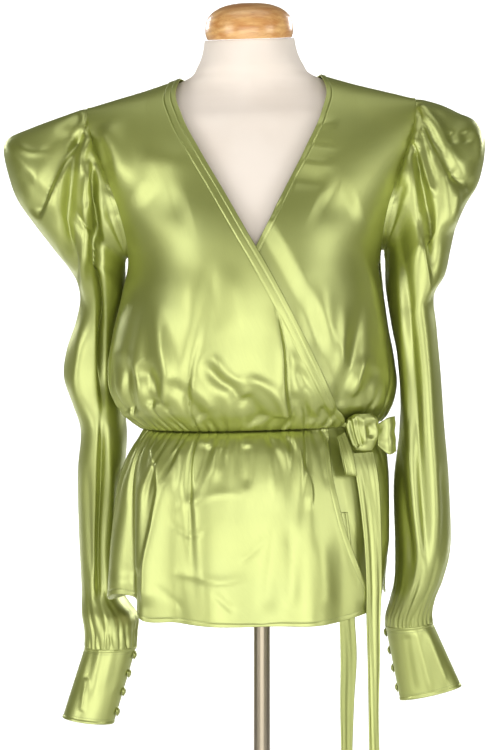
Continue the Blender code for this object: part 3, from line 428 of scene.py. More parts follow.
LEFT_FRONT_FOLDS = (
    (2.0, 5, 5, 0.1, 0.5, ((66, 1347), (78, 1350), (104, 1352))),
    (-2.0, 6, 6, 0.1, 0.5, ((60, 1330), (80, 1327), (108, 1322))),
    (2.0, 7, 6, 0.1, 0.5, ((54, 1309), (75, 1305), (100, 1301))),
    (-1.8, 8, 8, 0.1, 0.5, ((45, 1287), (70, 1284), (92, 1282))),
    (-2.2, 3, 3, 0.3, 0.3, ((16, 1242), (24, 1254), (33, 1266))),
    (1.8, 2.5, 2.5, 0.3, 0.3, ((11, 1246), (19, 1259), (27, 1270))),
    (-3.0, 22, 22, 0.3, 0.3, ((72, 1268), (100, 1255), (122, 1262))),
    (-4.2, 10, 7, 0.5, 0.05, ((124, 1162), (113, 1094), (94, 1022))),
    (3.2, 5, 6, 0.3, 0.2, ((125, 1085), (116, 1060), (104, 1030))),
    (-4.4, 10, 10, 0.2, 0.2, ((140, 1066), (126, 1044), (110, 1022))),
    (-1.6, 10, 10, 0.4, 0.3, ((58, 1184), (62, 1130), (70, 1080))),
    (1.6, 10, 10, 0.4, 0.3, ((78, 1180), (80, 1120), (84, 1066))),
    (-3.2, 6, 8, 0.3, 0.3, ((146, 1196), (155, 1168), (161, 1138))),
    (3.2, 8, 6, 0.4, 0.3, ((121, 1218), (138, 1150), (150, 1070))),
    (1.5, 6, 6, 0.4, 0.2, ((100, 1150), (98, 1100), (92, 1050))),
)
BACK_FOLDS = (
    (-3.5, 12, 12, 0.5, 0.1, ((-92, 1150), (-84, 1080), (-78, 1015))),
    (3.0, 10, 10, 0.5, 0.1, ((-62, 1140), (-56, 1080), (-52, 1015))),
    (-3.0, 10, 10, 0.5, 0.1, ((-26, 1110), (-24, 1060), (-22, 1012))),
    (3.0, 10, 10, 0.5, 0.1, ((4, 1120), (4, 1070), (2, 1012))),
    (-3.5, 12, 12, 0.5, 0.1, ((34, 1130), (32, 1070), (30, 1012))),
    (3.0, 10, 10, 0.5, 0.1, ((70, 1140), (62, 1070), (58, 1015))),
    (-3.5, 12, 12, 0.5, 0.1, ((112, 1130), (100, 1070), (92, 1015))),
    (2.0, 16, 16, 0.5, 0.5, ((-140, 1300), (-60, 1270), (0, 1262), (60, 1270), (140, 1300))),
    (-2.0, 14, 14, 0.5, 0.5, ((-130, 1250), (-50, 1225), (0, 1220), (50, 1225), (130, 1250))),
)
print("strokes:", len(RIGHT_FRONT_FOLDS) + len(LEFT_FRONT_FOLDS) + len(BACK_FOLDS))

# %% Panels of the bodice
EDGE_TURN = 6.5 * MM
EDGE_RISE = 0.55 * MM
STITCH_DIP = 0.45 * MM
ARMHOLE_SHARE = 0.52
FACING_WIDTH = 15.0 * MM
FACING_STRENGTH = 1.3
HOLD_REACH = 0.008
BLOUSE_GATHER_REACH = 0.8
TOP_FIT_SHARE = 0.12
BACK_EVEN_SHARE = 0.3
# height, rise, fall, share held down at the seam
BLOUSE_SPRING = (9.0 * MM, 4.0 * MM, 30.0 * MM, 0.5)
PEPLUM_SPRING = (17.0 * MM, 6.0 * MM, 70.0 * MM, 0.85)


def bodice_heights(v):
    """Height at the side: down the armhole as half a cosine wave, then evenly to the waist."""
    wave = (1 + np.cos(np.pi * np.minimum(v / ARMHOLE_SHARE, 1))) / 2
    above = ARMPIT + (SHOULDER_TOP - ARMPIT) * wave
    below = ARMPIT + (WAIST - ARMPIT) * (v - ARMHOLE_SHARE) / (1 - ARMHOLE_SHARE)
    return np.where(v < ARMHOLE_SHARE, above, below)


def turned_edge(away, turn=EDGE_TURN):
    """Height of a turned edge: a low step as wide as the turn, dipped at the stitch."""
    step = EDGE_RISE * (1 - ease((away - turn + 0.5 * MM) / (1.2 * MM)))
    return step - STITCH_DIP * np.exp(-(((away - turn) / (0.7 * MM)) ** 2))


def distance_from(grid, column):
    """Distance of every point of a grid from one of its columns, measured across the cloth."""
    step = np.linalg.norm(np.diff(grid, axis=1), axis=-1)
    across = np.concatenate([np.zeros((len(grid), 1)), np.cumsum(step, axis=1)], axis=1)
    return np.abs(across - across[:, column][:, None])


def distance_down(grid):
    """Distance of every point of a grid from its first row, measured down the cloth."""
    step = np.linalg.norm(np.diff(grid, axis=0), axis=-1)
    return np.concatenate([np.zeros((1, grid.shape[1])), np.cumsum(step, axis=0)], axis=0)


def spaced(count, near_end=0, end_share=0.05, near_start=0, start_share=0.05):
    """Values from 0 to 1, with extra ones near the ends."""
    parts = []
    if near_start:
        parts.append(np.linspace(0, start_share, near_start + 1)[:-1])
    low = start_share if near_start else 0.0
    high = 1 - end_share if near_end else 1.0
    parts.append(np.linspace(low, high, count))
    if near_end:
        parts.append(np.linspace(high, 1, near_end + 1)[1:])
    return np.concatenate(parts)


def front_base(side, u, v):
    """Angle and height on a bodice front: straight between the side's place and the edge's."""
    side_height = bodice_heights(v)
    fraction = (SHOULDER_TOP - side_height) / (SHOULDER_TOP - WAIST)
    edge_height = NECK_TOP + (WAIST - NECK_TOP) * fraction
    edge_angle = angle_at(-side * table_curve(WRAP_EDGE, edge_height), edge_height)
    side_angle = side * armhole_angle(side_height)
    angle = side_angle + (edge_angle - side_angle) * u
    height = side_height + (edge_height - side_height) * u
    top_height = SHOULDER_TOP + (NECK_TOP - SHOULDER_TOP) * u
    seam_x = body_point(angle, height)[..., 0]
    fit = 1 - ease(fraction / TOP_FIT_SHARE)
    height = height + (shoulder_height(seam_x) - top_height) * fit
    return angle, height


def waist_hold(height):
    """0 at the waist seam, where the elastic holds the cloth, and 1 a little above it."""
    return ease((height - WAIST) / HOLD_REACH)


def bodice_front(name, side, folds):
    """A front: the body's surface, lifted by folds and gathers and turned at its free edge."""
    u = spaced(225, near_end=22, end_share=0.075)[None, :]
    v = spaced(130, near_end=18, end_share=0.06)[:, None]
    angle, height = front_base(side, u, v)
    base = body_point(angle, height)
    level = level_normal(angle, height)
    outward = unit(surface_normals(base) * -side + 1e-6)
    x, z = base[..., 0], base[..., 2]
    share = 0 * x
    if side > 0:
        share = 1 - ease((x - table_curve(WRAP_EDGE, z) - UNDERLAP_START) / UNDERLAP_FADE)
    lift = gather_height(angle, BLOUSE_GATHER_REACH * (z - WAIST), GATHERS)
    lift = lift + spring(z - WAIST, *BLOUSE_SPRING)
    lift = lift * (1 - share) - UNDERLAP * share
    strokes = stroke_height(x, z, folds) * waist_hold(z)
    away = distance_from(base, -1)
    strokes = strokes + turned_edge(away)
    if side < 0:
        strokes = strokes + FACING_STRENGTH * turned_edge(away, FACING_WIDTH)
    grid = base + level * lift[..., None] + outward * strokes[..., None]
    edge = np.stack([away, distance_down(base)], -1)
    return cloth_piece(name, grid, WALL, satin, flip=side > 0, edge=edge)


def bodice_back():
    """The back: one panel between the side seams, with a shallow neckline at its top."""
    u = spaced(260)[None, :] * 2 - 1
    v = spaced(120, near_end=14, end_share=0.05)[:, None]
    side_height = bodice_heights(v)
    fraction = (SHOULDER_TOP - side_height) / (SHOULDER_TOP - WAIST)
    seam_x = np.abs(u) * SHOULDER_HALF
    top = np.where(seam_x < NECK_HALF, table_curve(BACK_NECK, seam_x), shoulder_height(seam_x))
    height = top + (WAIST - top) * fraction
    seam_angle = math.pi + angle_at(np.sign(u) * seam_x, top)
    even_angle = math.pi + armhole_angle(side_height) * u
    angle = seam_angle + (even_angle - seam_angle) * ease(fraction / BACK_EVEN_SHARE)
    angle[:, 0] = even_angle[:, 0]
    angle[:, -1] = even_angle[:, -1]
    base = body_point(angle, height)
    x, z = base[..., 0], base[..., 2]
    lift = gather_height(turn_back(angle), z - WAIST, GATHERS) + spring(z - WAIST, *BLOUSE_SPRING)
    strokes = stroke_height(x, z, BACK_FOLDS) * waist_hold(z)
    neck = distance_down(base)
    near_neck = (np.abs(u) * SHOULDER_HALF < NECK_HALF) + 0 * neck
    strokes = strokes + turned_edge(neck) * near_neck
    outward = surface_normals(base)
    grid = base + level_normal(angle, height) * lift[..., None] + outward * strokes[..., None]
    edge = np.stack([np.where(near_neck > 0, neck, 1.0), distance_from(base, 0)], -1)
    return cloth_piece("satin_back", grid, WALL, satin, edge=edge)


print("armhole, metres high:", round(SHOULDER_TOP - ARMPIT, 3))

# %% [markdown]
# ## The peplum
#
# The peplum is a short gathered skirt. Its gathers start at the elastic and melt into a few wide
# flutes, and old creases from a folded parcel cross its front. Its hem is turned up narrowly.

# %% Fold strokes of the peplum
# degrees around, width in degrees, depth at the hem
FLUTES = ((-76, 9, 0.005), (-58, 7, -0.014), (-46, 6, 0.005), (-30, 7, -0.006), (-15, 8, 0.005),
          (2, 8, -0.005), (18, 8, 0.004), (34, 7, -0.003), (50, 8, 0.001), (125, 8, -0.007),
          (142, 8, 0.009), (160, 8, -0.008), (180, 8, 0.009), (-160, 8, -0.008), (-142, 8, 0.009),
          (-125, 8, -0.007), (-108, 8, -0.003))
PEPLUM_FOLDS = (
    (5.0, 3.0, 12, 0.15, 0.1, ((-128, 988), (-117, 955), (-124, 905), (-137, 845), (-140, 795))),
    (-3.5, 9, 9, 0.3, 0.1, ((-145, 976), (-160, 911), (-171, 818))),
    (3.0, 9, 9, 0.3, 0.1, ((-134, 966), (-145, 909), (-150, 830))),
    (0.9, 3, 7, 0.3, 0.3, ((-112, 908), (-85, 917), (-52, 927), (-13, 926))),
    (-2.4, 8, 8, 0.1, 0.3, ((-60, 986), (-71, 953), (-88, 918))),
    (1.8, 6, 8, 0.1, 0.4, ((-88, 985), (-92, 950), (-100, 920))),
    (1.8, 7, 6, 0.1, 0.4, ((-46, 986), (-50, 960), (-53, 940))),
    (-2.0, 6, 6, 0.1, 0.3, ((-16, 984), (-16, 960), (-20, 930))),
    (2.0, 9, 2.0, 0.2, 0.2, ((37, 989), (45, 965), (55, 933), (54, 905))),
    (2.0, 8, 8, 0.1, 0.5, ((14, 986), (10, 950), (10, 910))),
    (-0.9, 3, 5, 0.3, 0.3, ((-112, 900), (-86, 880), (-58, 892))),
    (0.9, 3, 5, 0.3, 0.3, ((-33, 846), (-12, 862), (7, 881))),
    (1.1, 4, 7, 0.3, 0.3, ((-118, 836), (-83, 834), (-51, 827), (-16, 834))),
    (-0.9, 4, 5, 0.3, 0.3, ((-62, 818), (-48, 803), (-34, 790))),
    (-0.8, 4, 5, 0.3, 0.3, ((-132, 826), (-112, 806), (-96, 795))),
    (2.0, 7, 14, 0.4, 0.2, ((14, 914), (11, 877), (-2, 785))),
    (-1.5, 8, 8, 0.3, 0.2, ((30, 900), (32, 850), (30, 790))),
    (1.5, 10, 10, 0.3, 0.2, ((62, 880), (68, 830), (72, 785))),
    (2.4, 7, 2.5, 0.3, 0.05, ((82, 960), (92, 900), (106, 842), (118, 790))),
    (-1.2, 5, 5, 0.3, 0.3, ((74, 985), (72, 960), (76, 925))),
)
LEFT_PEPLUM_FOLDS = (
    (3.0, 7, 7, 0.2, 0.2, ((140, 985), (143, 920), (142, 830))),
    (-3.0, 6, 6, 0.2, 0.2, ((128, 985), (132, 920), (134, 830))),
)
HEM_TURN = 6.0 * MM
HIDDEN_EDGE_TAPER = 0.35
TIE_START = 0.030
TIE_FADE = 0.040
FRONT_FACING = 0.85
PEPLUM_GATHER_REACH = 0.6
PEPLUM_HOLD_REACH = 0.010
TIE_CALM = 0.5
print("peplum strokes:", len(PEPLUM_FOLDS))


# %% Panels of the peplum
def flute_height(angle, height):
    """Sum of bells around the body that grow from nothing at the waist to full at the hem."""
    grow = ease((WAIST - height) / (WAIST - HEM_FRONT))
    total = np.zeros(np.broadcast(angle, height).shape)
    for centre, width, depth in FLUTES:
        away = np.abs(turn_back(angle - math.radians(centre)))
        total += depth * np.exp(-((away / math.radians(width)) ** 2))
    return total * grow


def peplum_edge(height, side):
    """Angle of a peplum front's free edge; the hidden one draws back towards the hem."""
    angle = angle_at(table_curve(PEPLUM_EDGE, height), height)
    taper = 1 - HIDDEN_EDGE_TAPER * (WAIST - height) / (WAIST - HEM_FRONT)
    return angle if side < 0 else -angle * taper


def peplum_panel(name, first, last, columns, folds=(), under=False, free=None):
    """A panel between two angles; v runs from the waist to the hem, which isn't level."""
    u = spaced(columns, near_end=14 if free == -1 else 0, end_share=0.05,
               near_start=14 if free == 0 else 0, start_share=0.05)[None, :]
    v = spaced(84, near_end=16, end_share=0.06)[:, None]
    guess = WAIST + (HEM_FRONT - WAIST) * v
    start, end = first(guess), last(guess)
    angle = start + (end - start) * u
    around = turn_back(angle)
    hem = table_curve(HEM, np.degrees(around))
    height = WAIST + (hem - WAIST) * v
    base = body_point(angle, height)
    level = level_normal(angle, height)
    x, z = base[..., 0], base[..., 2]
    share = 0 * x
    if under:
        share = 1 - ease((x - table_curve(PEPLUM_EDGE, z) - UNDERLAP_START) / UNDERLAP_FADE)
    under_tie = ease((x - TIE_START) / TIE_FADE) if name != "satin_peplum_back" else 0 * x
    lift = gather_height(around, PEPLUM_GATHER_REACH * (WAIST - z), GATHERS)
    lift = lift * (1 - TIE_CALM * under_tie)
    facing = ease(np.abs(np.cos(angle)) / FRONT_FACING) * (1 - under_tie)
    lift = (lift + spring(WAIST - z, *PEPLUM_SPRING) * facing) * (1 - share)
    lift = lift + flute_height(angle, height) - PEPLUM_UNDERLAP * share
    strokes = stroke_height(x, z, folds) * ease((WAIST - z) / PEPLUM_HOLD_REACH)
    down = distance_down(base)
    up = down[-1] - down
    strokes = strokes + turned_edge(up, HEM_TURN)
    away = up
    if free is not None:
        sideways = distance_from(base, free)
        strokes = strokes + turned_edge(sideways, HEM_TURN)
        away = np.minimum(up, sideways)
    grid = base + level * (lift + strokes)[..., None]
    along = np.where(up < away + 1e-9, distance_from(base, 0), down)
    edge = np.stack([away, along], -1)
    return cloth_piece(name, grid, WALL, satin, edge=edge)


def same_angle(angle):
    """A side seam: the same angle at every height."""
    return lambda height: angle + 0 * height


print("hem drop, metres:", round(WAIST - HEM_FRONT, 3))

# %% [markdown]
# ## The sleeves
#
# A sleeve is cut far wider than the armhole, gathered into it, and filled out at the shoulder to
# a wing. Below the wing it hangs as a soft tube, and the cuff takes it in again. Sections are
# measured from the armhole to the cuff, and smooth curves through them give the tube. Its folds
# are strokes again, one set for what shows in front and one for the back.

# %% Sleeve measurements
# x and height of the outer and of the inner point, middle y, half depth, squareness
RIGHT_SLEEVE = (
    (0.2060, 1.3785, 0.1550, 1.2010, 0.004, 0.050, 2.0),
    (0.2335, 1.3700, 0.1560, 1.2000, 0.006, 0.057, 1.9),
    (0.2655, 1.3590, 0.1570, 1.1980, 0.009, 0.061, 1.8),
    (0.2905, 1.3490, 0.1580, 1.1950, 0.012, 0.063, 1.7),
    (0.2985, 1.3370, 0.1585, 1.1910, 0.015, 0.065, 1.7),
    (0.2955, 1.3100, 0.1590, 1.1850, 0.019, 0.067, 1.75),
    (0.2855, 1.2760, 0.1595, 1.1770, 0.024, 0.067, 1.85),
    (0.2665, 1.2460, 0.1605, 1.1680, 0.029, 0.066, 2.0),
    (0.2480, 1.2200, 0.1615, 1.1570, 0.034, 0.062, 2.1),
    (0.2285, 1.1920, 0.1640, 1.1440, 0.040, 0.057, 2.2),
    (0.2150, 1.1620, 0.1680, 1.1270, 0.047, 0.052, 2.2),
    (0.2200, 1.1290, 0.1715, 1.1050, 0.055, 0.048, 2.2),
    (0.2345, 1.0900, 0.1745, 1.0720, 0.061, 0.046, 2.2),
    (0.2390, 1.0560, 0.1735, 1.0450, 0.063, 0.046, 2.2),
    (0.2285, 1.0220, 0.1665, 1.0150, 0.061, 0.046, 2.2),
    (0.2205, 0.9900, 0.1640, 0.9830, 0.060, 0.047, 2.2),
    (0.2265, 0.9400, 0.1690, 0.9350, 0.070, 0.048, 2.2),
    (0.2290, 0.8700, 0.1785, 0.8670, 0.085, 0.045, 2.1),
    (0.2285, 0.7950, 0.1790, 0.7940, 0.091, 0.043, 2.1),
    (0.2285, 0.7620, 0.1590, 0.7600, 0.077, 0.043, 2.1),
    (0.2250, 0.7400, 0.1595, 0.7390, 0.066, 0.036, 2.0),
)
LEFT_SLEEVE = (
    (0.2060, 1.3785, 0.1540, 1.2010, 0.002, 0.050, 2.0),
    (0.2270, 1.3720, 0.1545, 1.2000, 0.003, 0.056, 1.9),
    (0.2470, 1.3620, 0.1550, 1.1980, 0.004, 0.059, 1.8),
    (0.2650, 1.3530, 0.1550, 1.1950, 0.004, 0.061, 1.7),
    (0.2765, 1.3350, 0.1555, 1.1910, 0.004, 0.062, 1.7),
    (0.2760, 1.3080, 0.1560, 1.1850, 0.004, 0.063, 1.75),
    (0.2680, 1.2780, 0.1560, 1.1770, 0.003, 0.063, 1.85),
    (0.2530, 1.2540, 0.1560, 1.1680, 0.002, 0.063, 2.0),
    (0.2400, 1.2280, 0.1560, 1.1570, 0.000, 0.061, 2.1),
    (0.2320, 1.1980, 0.1570, 1.1440, -0.002, 0.059, 2.2),
    (0.2250, 1.1710, 0.1585, 1.1270, -0.004, 0.057, 2.2),
    (0.2110, 1.1460, 0.1610, 1.1050, -0.006, 0.055, 2.2),
    (0.2130, 1.1080, 0.1655, 1.0760, -0.008, 0.054, 2.2),
    (0.2165, 1.0500, 0.1685, 1.0320, -0.011, 0.054, 2.2),
    (0.2190, 0.9900, 0.1650, 0.9830, -0.013, 0.053, 2.2),
    (0.2230, 0.9250, 0.1570, 0.9210, -0.014, 0.052, 2.2),
    (0.2235, 0.8500, 0.1565, 0.8480, -0.014, 0.051, 2.2),
    (0.2140, 0.8080, 0.1545, 0.8070, -0.012, 0.047, 2.2),
    (0.2040, 0.7830, 0.1490, 0.7820, -0.011, 0.042, 2.1),
    (0.1995, 0.7650, 0.1430, 0.7620, -0.010, 0.036, 2.0),
)
# x and height of the outer and of the inner point, middle y, half depth; top, then bottom
RIGHT_CUFF = ((0.2245, 0.7240, 0.1610, 0.7220, 0.062, 0.030),
              (0.2540, 0.6395, 0.1915, 0.6300, 0.048, 0.026))
LEFT_CUFF = ((0.1990, 0.7540, 0.1425, 0.7505, -0.010, 0.032),
             (0.2320, 0.6750, 0.1580, 0.6600, -0.012, 0.022))
RIGHT_SLEEVE_FOLDS = (
    (-8.0, 13, 3.0, 0.15, 0.1, ((-200, 1358), (-221, 1327), (-240, 1290), (-259, 1250))),
    (6.0, 3.0, 13, 0.15, 0.2, ((-196, 1354), (-214, 1322), (-232, 1286), (-250, 1250))),
    (-12.0, 7, 7, 0.1, 0.2, ((-196, 1362), (-209, 1336), (-215, 1298), (-219, 1255), (-220, 1212),
                             (-214, 1165))),
    (4.0, 5, 4, 0.2, 0.3, ((-191, 1350), (-199, 1325), (-204, 1295))),
    (-3.5, 3, 3, 0.2, 0.3, ((-188, 1311), (-193, 1289), (-202, 1265), (-208, 1264))),
    (-3.0, 3, 3, 0.3, 0.3, ((-209, 1260), (-201, 1247), (-194, 1230), (-194, 1215))),
    (9.0, 6.0, 6.0, 0.15, 0.4, ((-191, 1322), (-196, 1281), (-200, 1240), (-204, 1187),
                                (-206, 1140))),
    (-14.0, 3.5, 4.0, 0.1, 0.3, ((-189, 1322), (-187, 1275), (-187, 1225), (-188, 1179),
                                 (-189, 1116), (-190, 1052), (-191, 1000))),
    (-9.0, 3.5, 5, 0.3, 0.1, ((-191, 1025), (-194, 970), (-198, 906), (-204, 843), (-208, 778))),
    (3.0, 7, 9, 0.4, 0.3, ((-212, 1140), (-216, 1090), (-222, 1050), (-214, 1000))),
    (3.0, 5, 6, 0.3, 0.2, ((-183, 990), (-186, 900), (-190, 820), (-196, 775))),
    (-3.0, 5, 5, 0.3, 0.2, ((-212, 960), (-214, 880), (-214, 800))),
    (-3.0, 7, 7, 0.2, 0.4, ((-201, 1376), (-216, 1359), (-234, 1350))),
    (2.0, 5, 5, 0.3, 0.3, ((-284, 1341), (-262, 1330), (-236, 1332))),
    (-2.0, 8, 8, 0.3, 0.3, ((-276, 1310), (-262, 1288), (-246, 1262))),
)
LEFT_SLEEVE_FOLDS = (
    (-6.0, 5, 6, 0.1, 0.3, ((190, 1374), (204, 1350), (214, 1328), (224, 1304), (238, 1284),
                            (254, 1274))),
    (4.5, 6, 8, 0.1, 0.4, ((194, 1374), (213, 1350), (226, 1326), (240, 1304), (256, 1296))),
    (-3.5, 4, 4, 0.2, 0.3, ((194, 1363), (197, 1342), (204, 1317), (206, 1299), (212, 1270))),
    (2.5, 4, 4, 0.2, 0.3, ((199, 1352), (206, 1330), (212, 1306))),
    (4.5, 3, 4.5, 0.2, 0.2, ((187, 1334), (194, 1314), (201, 1294), (206, 1273), (212, 1260))),
    (-12.0, 3.5, 8, 0.1, 0.3, ((187, 1332), (193, 1299), (198, 1258), (203, 1211), (208, 1160))),
    (6.5, 18, 3.0, 0.2, 0.4, ((182, 1330), (188, 1281), (195, 1227), (201, 1170), (205, 1130))),
    (4.5, 8, 10, 0.2, 0.3, ((213, 1334), (222, 1298), (226, 1257), (226, 1215))),
    (-3.5, 8, 8, 0.2, 0.2, ((229, 1293), (246, 1279), (262, 1272))),
    (3.0, 6, 6, 0.3, 0.2, ((238, 1276), (236, 1250), (228, 1225))),
    (-2.5, 6, 6, 0.3, 0.3, ((232, 1340), (236, 1322))),
    (-2.5, 6, 6, 0.3, 0.3, ((250, 1341), (254, 1324))),
    (2.0, 6, 6, 0.3, 0.3, ((262, 1345), (268, 1322), (266, 1296))),
    (-6.0, 4.0, 9, 0.3, 0.2, ((171, 1250), (173, 1196), (176, 1145), (179, 1060), (184, 960),
                              (189, 880), (194, 800))),
    (3.5, 6, 4.0, 0.3, 0.2, ((166, 1240), (168, 1180), (171, 1100), (174, 1000), (178, 900),
                             (184, 820))),
    (3.0, 8, 8, 0.4, 0.3, ((190, 1180), (196, 1080), (200, 980), (206, 880), (206, 820))),
    (-3.0, 5, 5, 0.3, 0.3, ((156, 1226), (151, 1184), (150, 1150))),
    (-3.5, 5, 5, 0.3, 0.3, ((158, 990), (166, 900), (172, 830), (170, 790))),
    (-3.0, 6, 6, 0.3, 0.3, ((212, 960), (214, 880), (208, 815))),
)
BACK_SLEEVE_FOLDS = (
    (-6.0, 8, 9, 0.2, 0.3, ((195, 1358), (220, 1330), (240, 1290), (246, 1262))),
    (5.0, 9, 8, 0.2, 0.3, ((194, 1346), (212, 1310), (226, 1260), (228, 1226))),
    (-8.0, 6, 8, 0.1, 0.3, ((190, 1345), (200, 1300), (206, 1250), (208, 1190))),
    (7.0, 14, 5, 0.2, 0.4, ((182, 1330), (186, 1270), (192, 1200), (196, 1120))),
    (-7.0, 5, 6, 0.3, 0.2, ((176, 1200), (180, 1120), (186, 1040), (190, 960), (196, 860))),
    (3.5, 8, 8, 0.3, 0.2, ((204, 1100), (208, 1000), (212, 900), (212, 800))),
    (-4.0, 6, 6, 0.3, 0.2, ((168, 1000), (174, 900), (184, 800))),
)
SLEEVE_ROWS = 250
SLEEVE_COLUMNS = 168
ARMHOLE_INSET = 1.0 * MM
ARMHOLE_SHRINK = 0.985
CUFF_OVERLAP = 0.02
CUFF_LIFT = 0.5 * MM
END_HOLD = 0.8
STITCH_INSET = 0.4 * MM
# radians where the head's gathers begin and end, and from where an angle counts as negative
HEAD_ARC = (-0.9, 2.1)
HEAD_WRAP = 4.0
# number, depth, reach
HEAD_GATHERS = (17, 1.7 * MM, 0.010)
WRIST_GATHERS = (30, 2.6 * MM, 0.022)
TUCK = 2.0 * MM
TUCK_HEIGHT = 1.165
TUCK_REACH = 0.045
CUFF_WALL = 1.6 * MM
print("sleeve sections:", len(RIGHT_SLEEVE), "and", len(LEFT_SLEEVE))


# %% Sleeve surfaces
def oval(angle, outer, inner, centre_y, half_depth, square):
    """Section between an outer and an inner point: c + h cos(a)^(2/n), y = cy - d sin(a)^(2/n)."""
    across = np.sign(np.cos(angle)) * np.abs(np.cos(angle)) ** (2 / square)
    fore = np.sign(np.sin(angle)) * np.abs(np.sin(angle)) ** (2 / square)
    middle = (np.asarray(outer) + np.asarray(inner)) / 2
    half = (np.asarray(outer) - np.asarray(inner)) / 2
    return np.stack([middle[0] + half[0] * across, centre_y - half_depth * fore,
                     middle[1] + half[1] * across], -1)


def armhole_ring(side, count):
    """The sleeve's first ring: the armhole's own line, a little inside the bodice's edge."""
    turns = np.linspace(0, 2 * math.pi, count, endpoint=False)
    height = ARMPIT + (SHOULDER_TOP - ARMPIT) * (1 + np.cos(turns)) / 2
    around = armhole_angle(height)
    ring = body_point(side * np.where(turns <= math.pi, around, math.pi - around), height)
    ring[:, 0] -= side * ARMHOLE_INSET
    centre = ring.mean(axis=0)
    return centre + (ring - centre) * ARMHOLE_SHRINK


def cuff_ring(angle, side, edges, t):
    """The cuff's oval at a share t of the way from its top edge to its bottom edge."""
    top, bottom = np.array(edges[0]), np.array(edges[1])
    outer_x, outer_z, inner_x, inner_z, centre_y, half_depth = top + (bottom - top) * t
    return oval(angle, (side * outer_x, outer_z), (side * inner_x, inner_z), centre_y,
                half_depth, 2.0)


def sleeve_grid(side, table, edges, rows, columns):
    """Sections joined by smooth curves down the sleeve, from the armhole ring to the cuff."""
    angle = np.linspace(0, 2 * math.pi, columns, endpoint=False)
    rings = [armhole_ring(side, columns)]
    for outer_x, outer_z, inner_x, inner_z, centre_y, half_depth, square in table:
        inner_x = inner_x - TUCK * math.exp(-(((inner_z - TUCK_HEIGHT) / TUCK_REACH) ** 2))
        rings.append(oval(angle, (side * outer_x, outer_z), (side * inner_x, inner_z), centre_y,
                          half_depth, square))
    rings.append(cuff_ring(angle, side, edges, CUFF_OVERLAP) + np.array([0, 0, CUFF_LIFT]))
    sections = np.arange(len(rings))
    at = np.interp(np.linspace(0, 1, rows), np.linspace(0, 1, len(rings)), sections)
    return smooth(at, sections, np.array(rings)), angle, at


def sleeve(name, side, table, edges, folds, seed):
    """A sleeve with its folds, its armhole gathers and the gathers above its cuff."""
    base, angle, at = sleeve_grid(side, table, edges, SLEEVE_ROWS, SLEEVE_COLUMNS)
    outward = surface_normals(base, tube=True) * -side
    hold = ease(at / END_HOLD) * ease((len(table) + 1 - at) / END_HOLD)
    x, z = base[..., 0], base[..., 2]
    front = ease((np.sin(angle) + 0.10) / 0.35)[None, :]
    back = ease((-np.sin(angle) + 0.10) / 0.35)[None, :]
    lift = stroke_height(x, z, folds) * front * hold[:, None]
    lift += stroke_height(np.abs(x), z, BACK_SLEEVE_FOLDS) * back * hold[:, None]
    down = distance_down(base)
    up = down[-1] - down
    turns = angle[None, :] + 0 * down
    head = row_of_gathers(seed, *HEAD_ARC, *HEAD_GATHERS)
    wrist = row_of_gathers(seed + 1, 0, 2 * math.pi, *WRIST_GATHERS)
    from_front = np.where(turns > HEAD_WRAP, turns - 2 * math.pi, turns)
    lift += gather_height(from_front, down, head) * ease(down / (4 * MM))
    lift += gather_height(turns, up, wrist) * ease(up / (3 * MM) + 0.2)
    grid = base + outward * lift[..., None]
    edge = np.stack([down + STITCH_INSET, turns * 0.05], -1)
    return cloth_piece(name, grid, WALL, satin, tube=True, flip=side > 0, edge=edge)


print("points in a sleeve:", SLEEVE_ROWS * SLEEVE_COLUMNS)

# %% [markdown]
# ## Cuffs, buttons and loops
#
# The cuffs are deep bands of folded satin, slit at the wrist. Covered buttons close the slit
# through small loops of rolled satin. A cuff is an oval tube that flares and leans with the arm;
# a button is a dome turned on its own axis; a loop is a thin cord carried along a half circle.

# %% Cuff surfaces
BUTTON_ROWS = (0.10, 0.34, 0.58, 0.84)
BUTTON_RADIUS = 4.5 * MM
BUTTON_HEIGHT = 4.0 * MM
LOOP_RADIUS = 0.8 * MM
BUTTON_STAND = 1.0 * MM
BUTTON_SIDES = 28
LOOP_GAP = 0.9 * MM
CUFF_COLUMNS = 128
CUFF_ROUND = 0.03
CUFF_TURN = 3.5 * MM
SLIT_DEPTH = 1.0 * MM
SLIT_WIDTH = 0.9 * MM
RIGHT_CUFF_FOLDS = (
    (-1.2, 5, 5, 0.1, 0.3, ((-212, 730), (-219, 700), (-226, 670))),
    (1.0, 5, 5, 0.1, 0.3, ((-202, 730), (-207, 700), (-214, 660))),
    (1.6, 4, 2.5, 0.1, 0.1, ((-222, 690), (-225, 668), (-228, 648))),
    (-1.0, 5, 5, 0.1, 0.3, ((-180, 735), (-187, 700), (-196, 665))),
)
LEFT_CUFF_FOLDS = (
    (1.2, 4, 4, 0.1, 0.2, ((178, 750), (186, 710), (196, 668))),
    (-1.0, 5, 5, 0.1, 0.2, ((166, 745), (170, 705), (176, 668))),
    (1.0, 4, 4, 0.2, 0.2, ((191, 750), (203, 712), (214, 676))),
)


def away_from_axis(ring, centre):
    """Level unit vectors from the cuff's axis to its wall."""
    return unit((ring - centre) * np.array([1.0, 1.0, 0.0]))


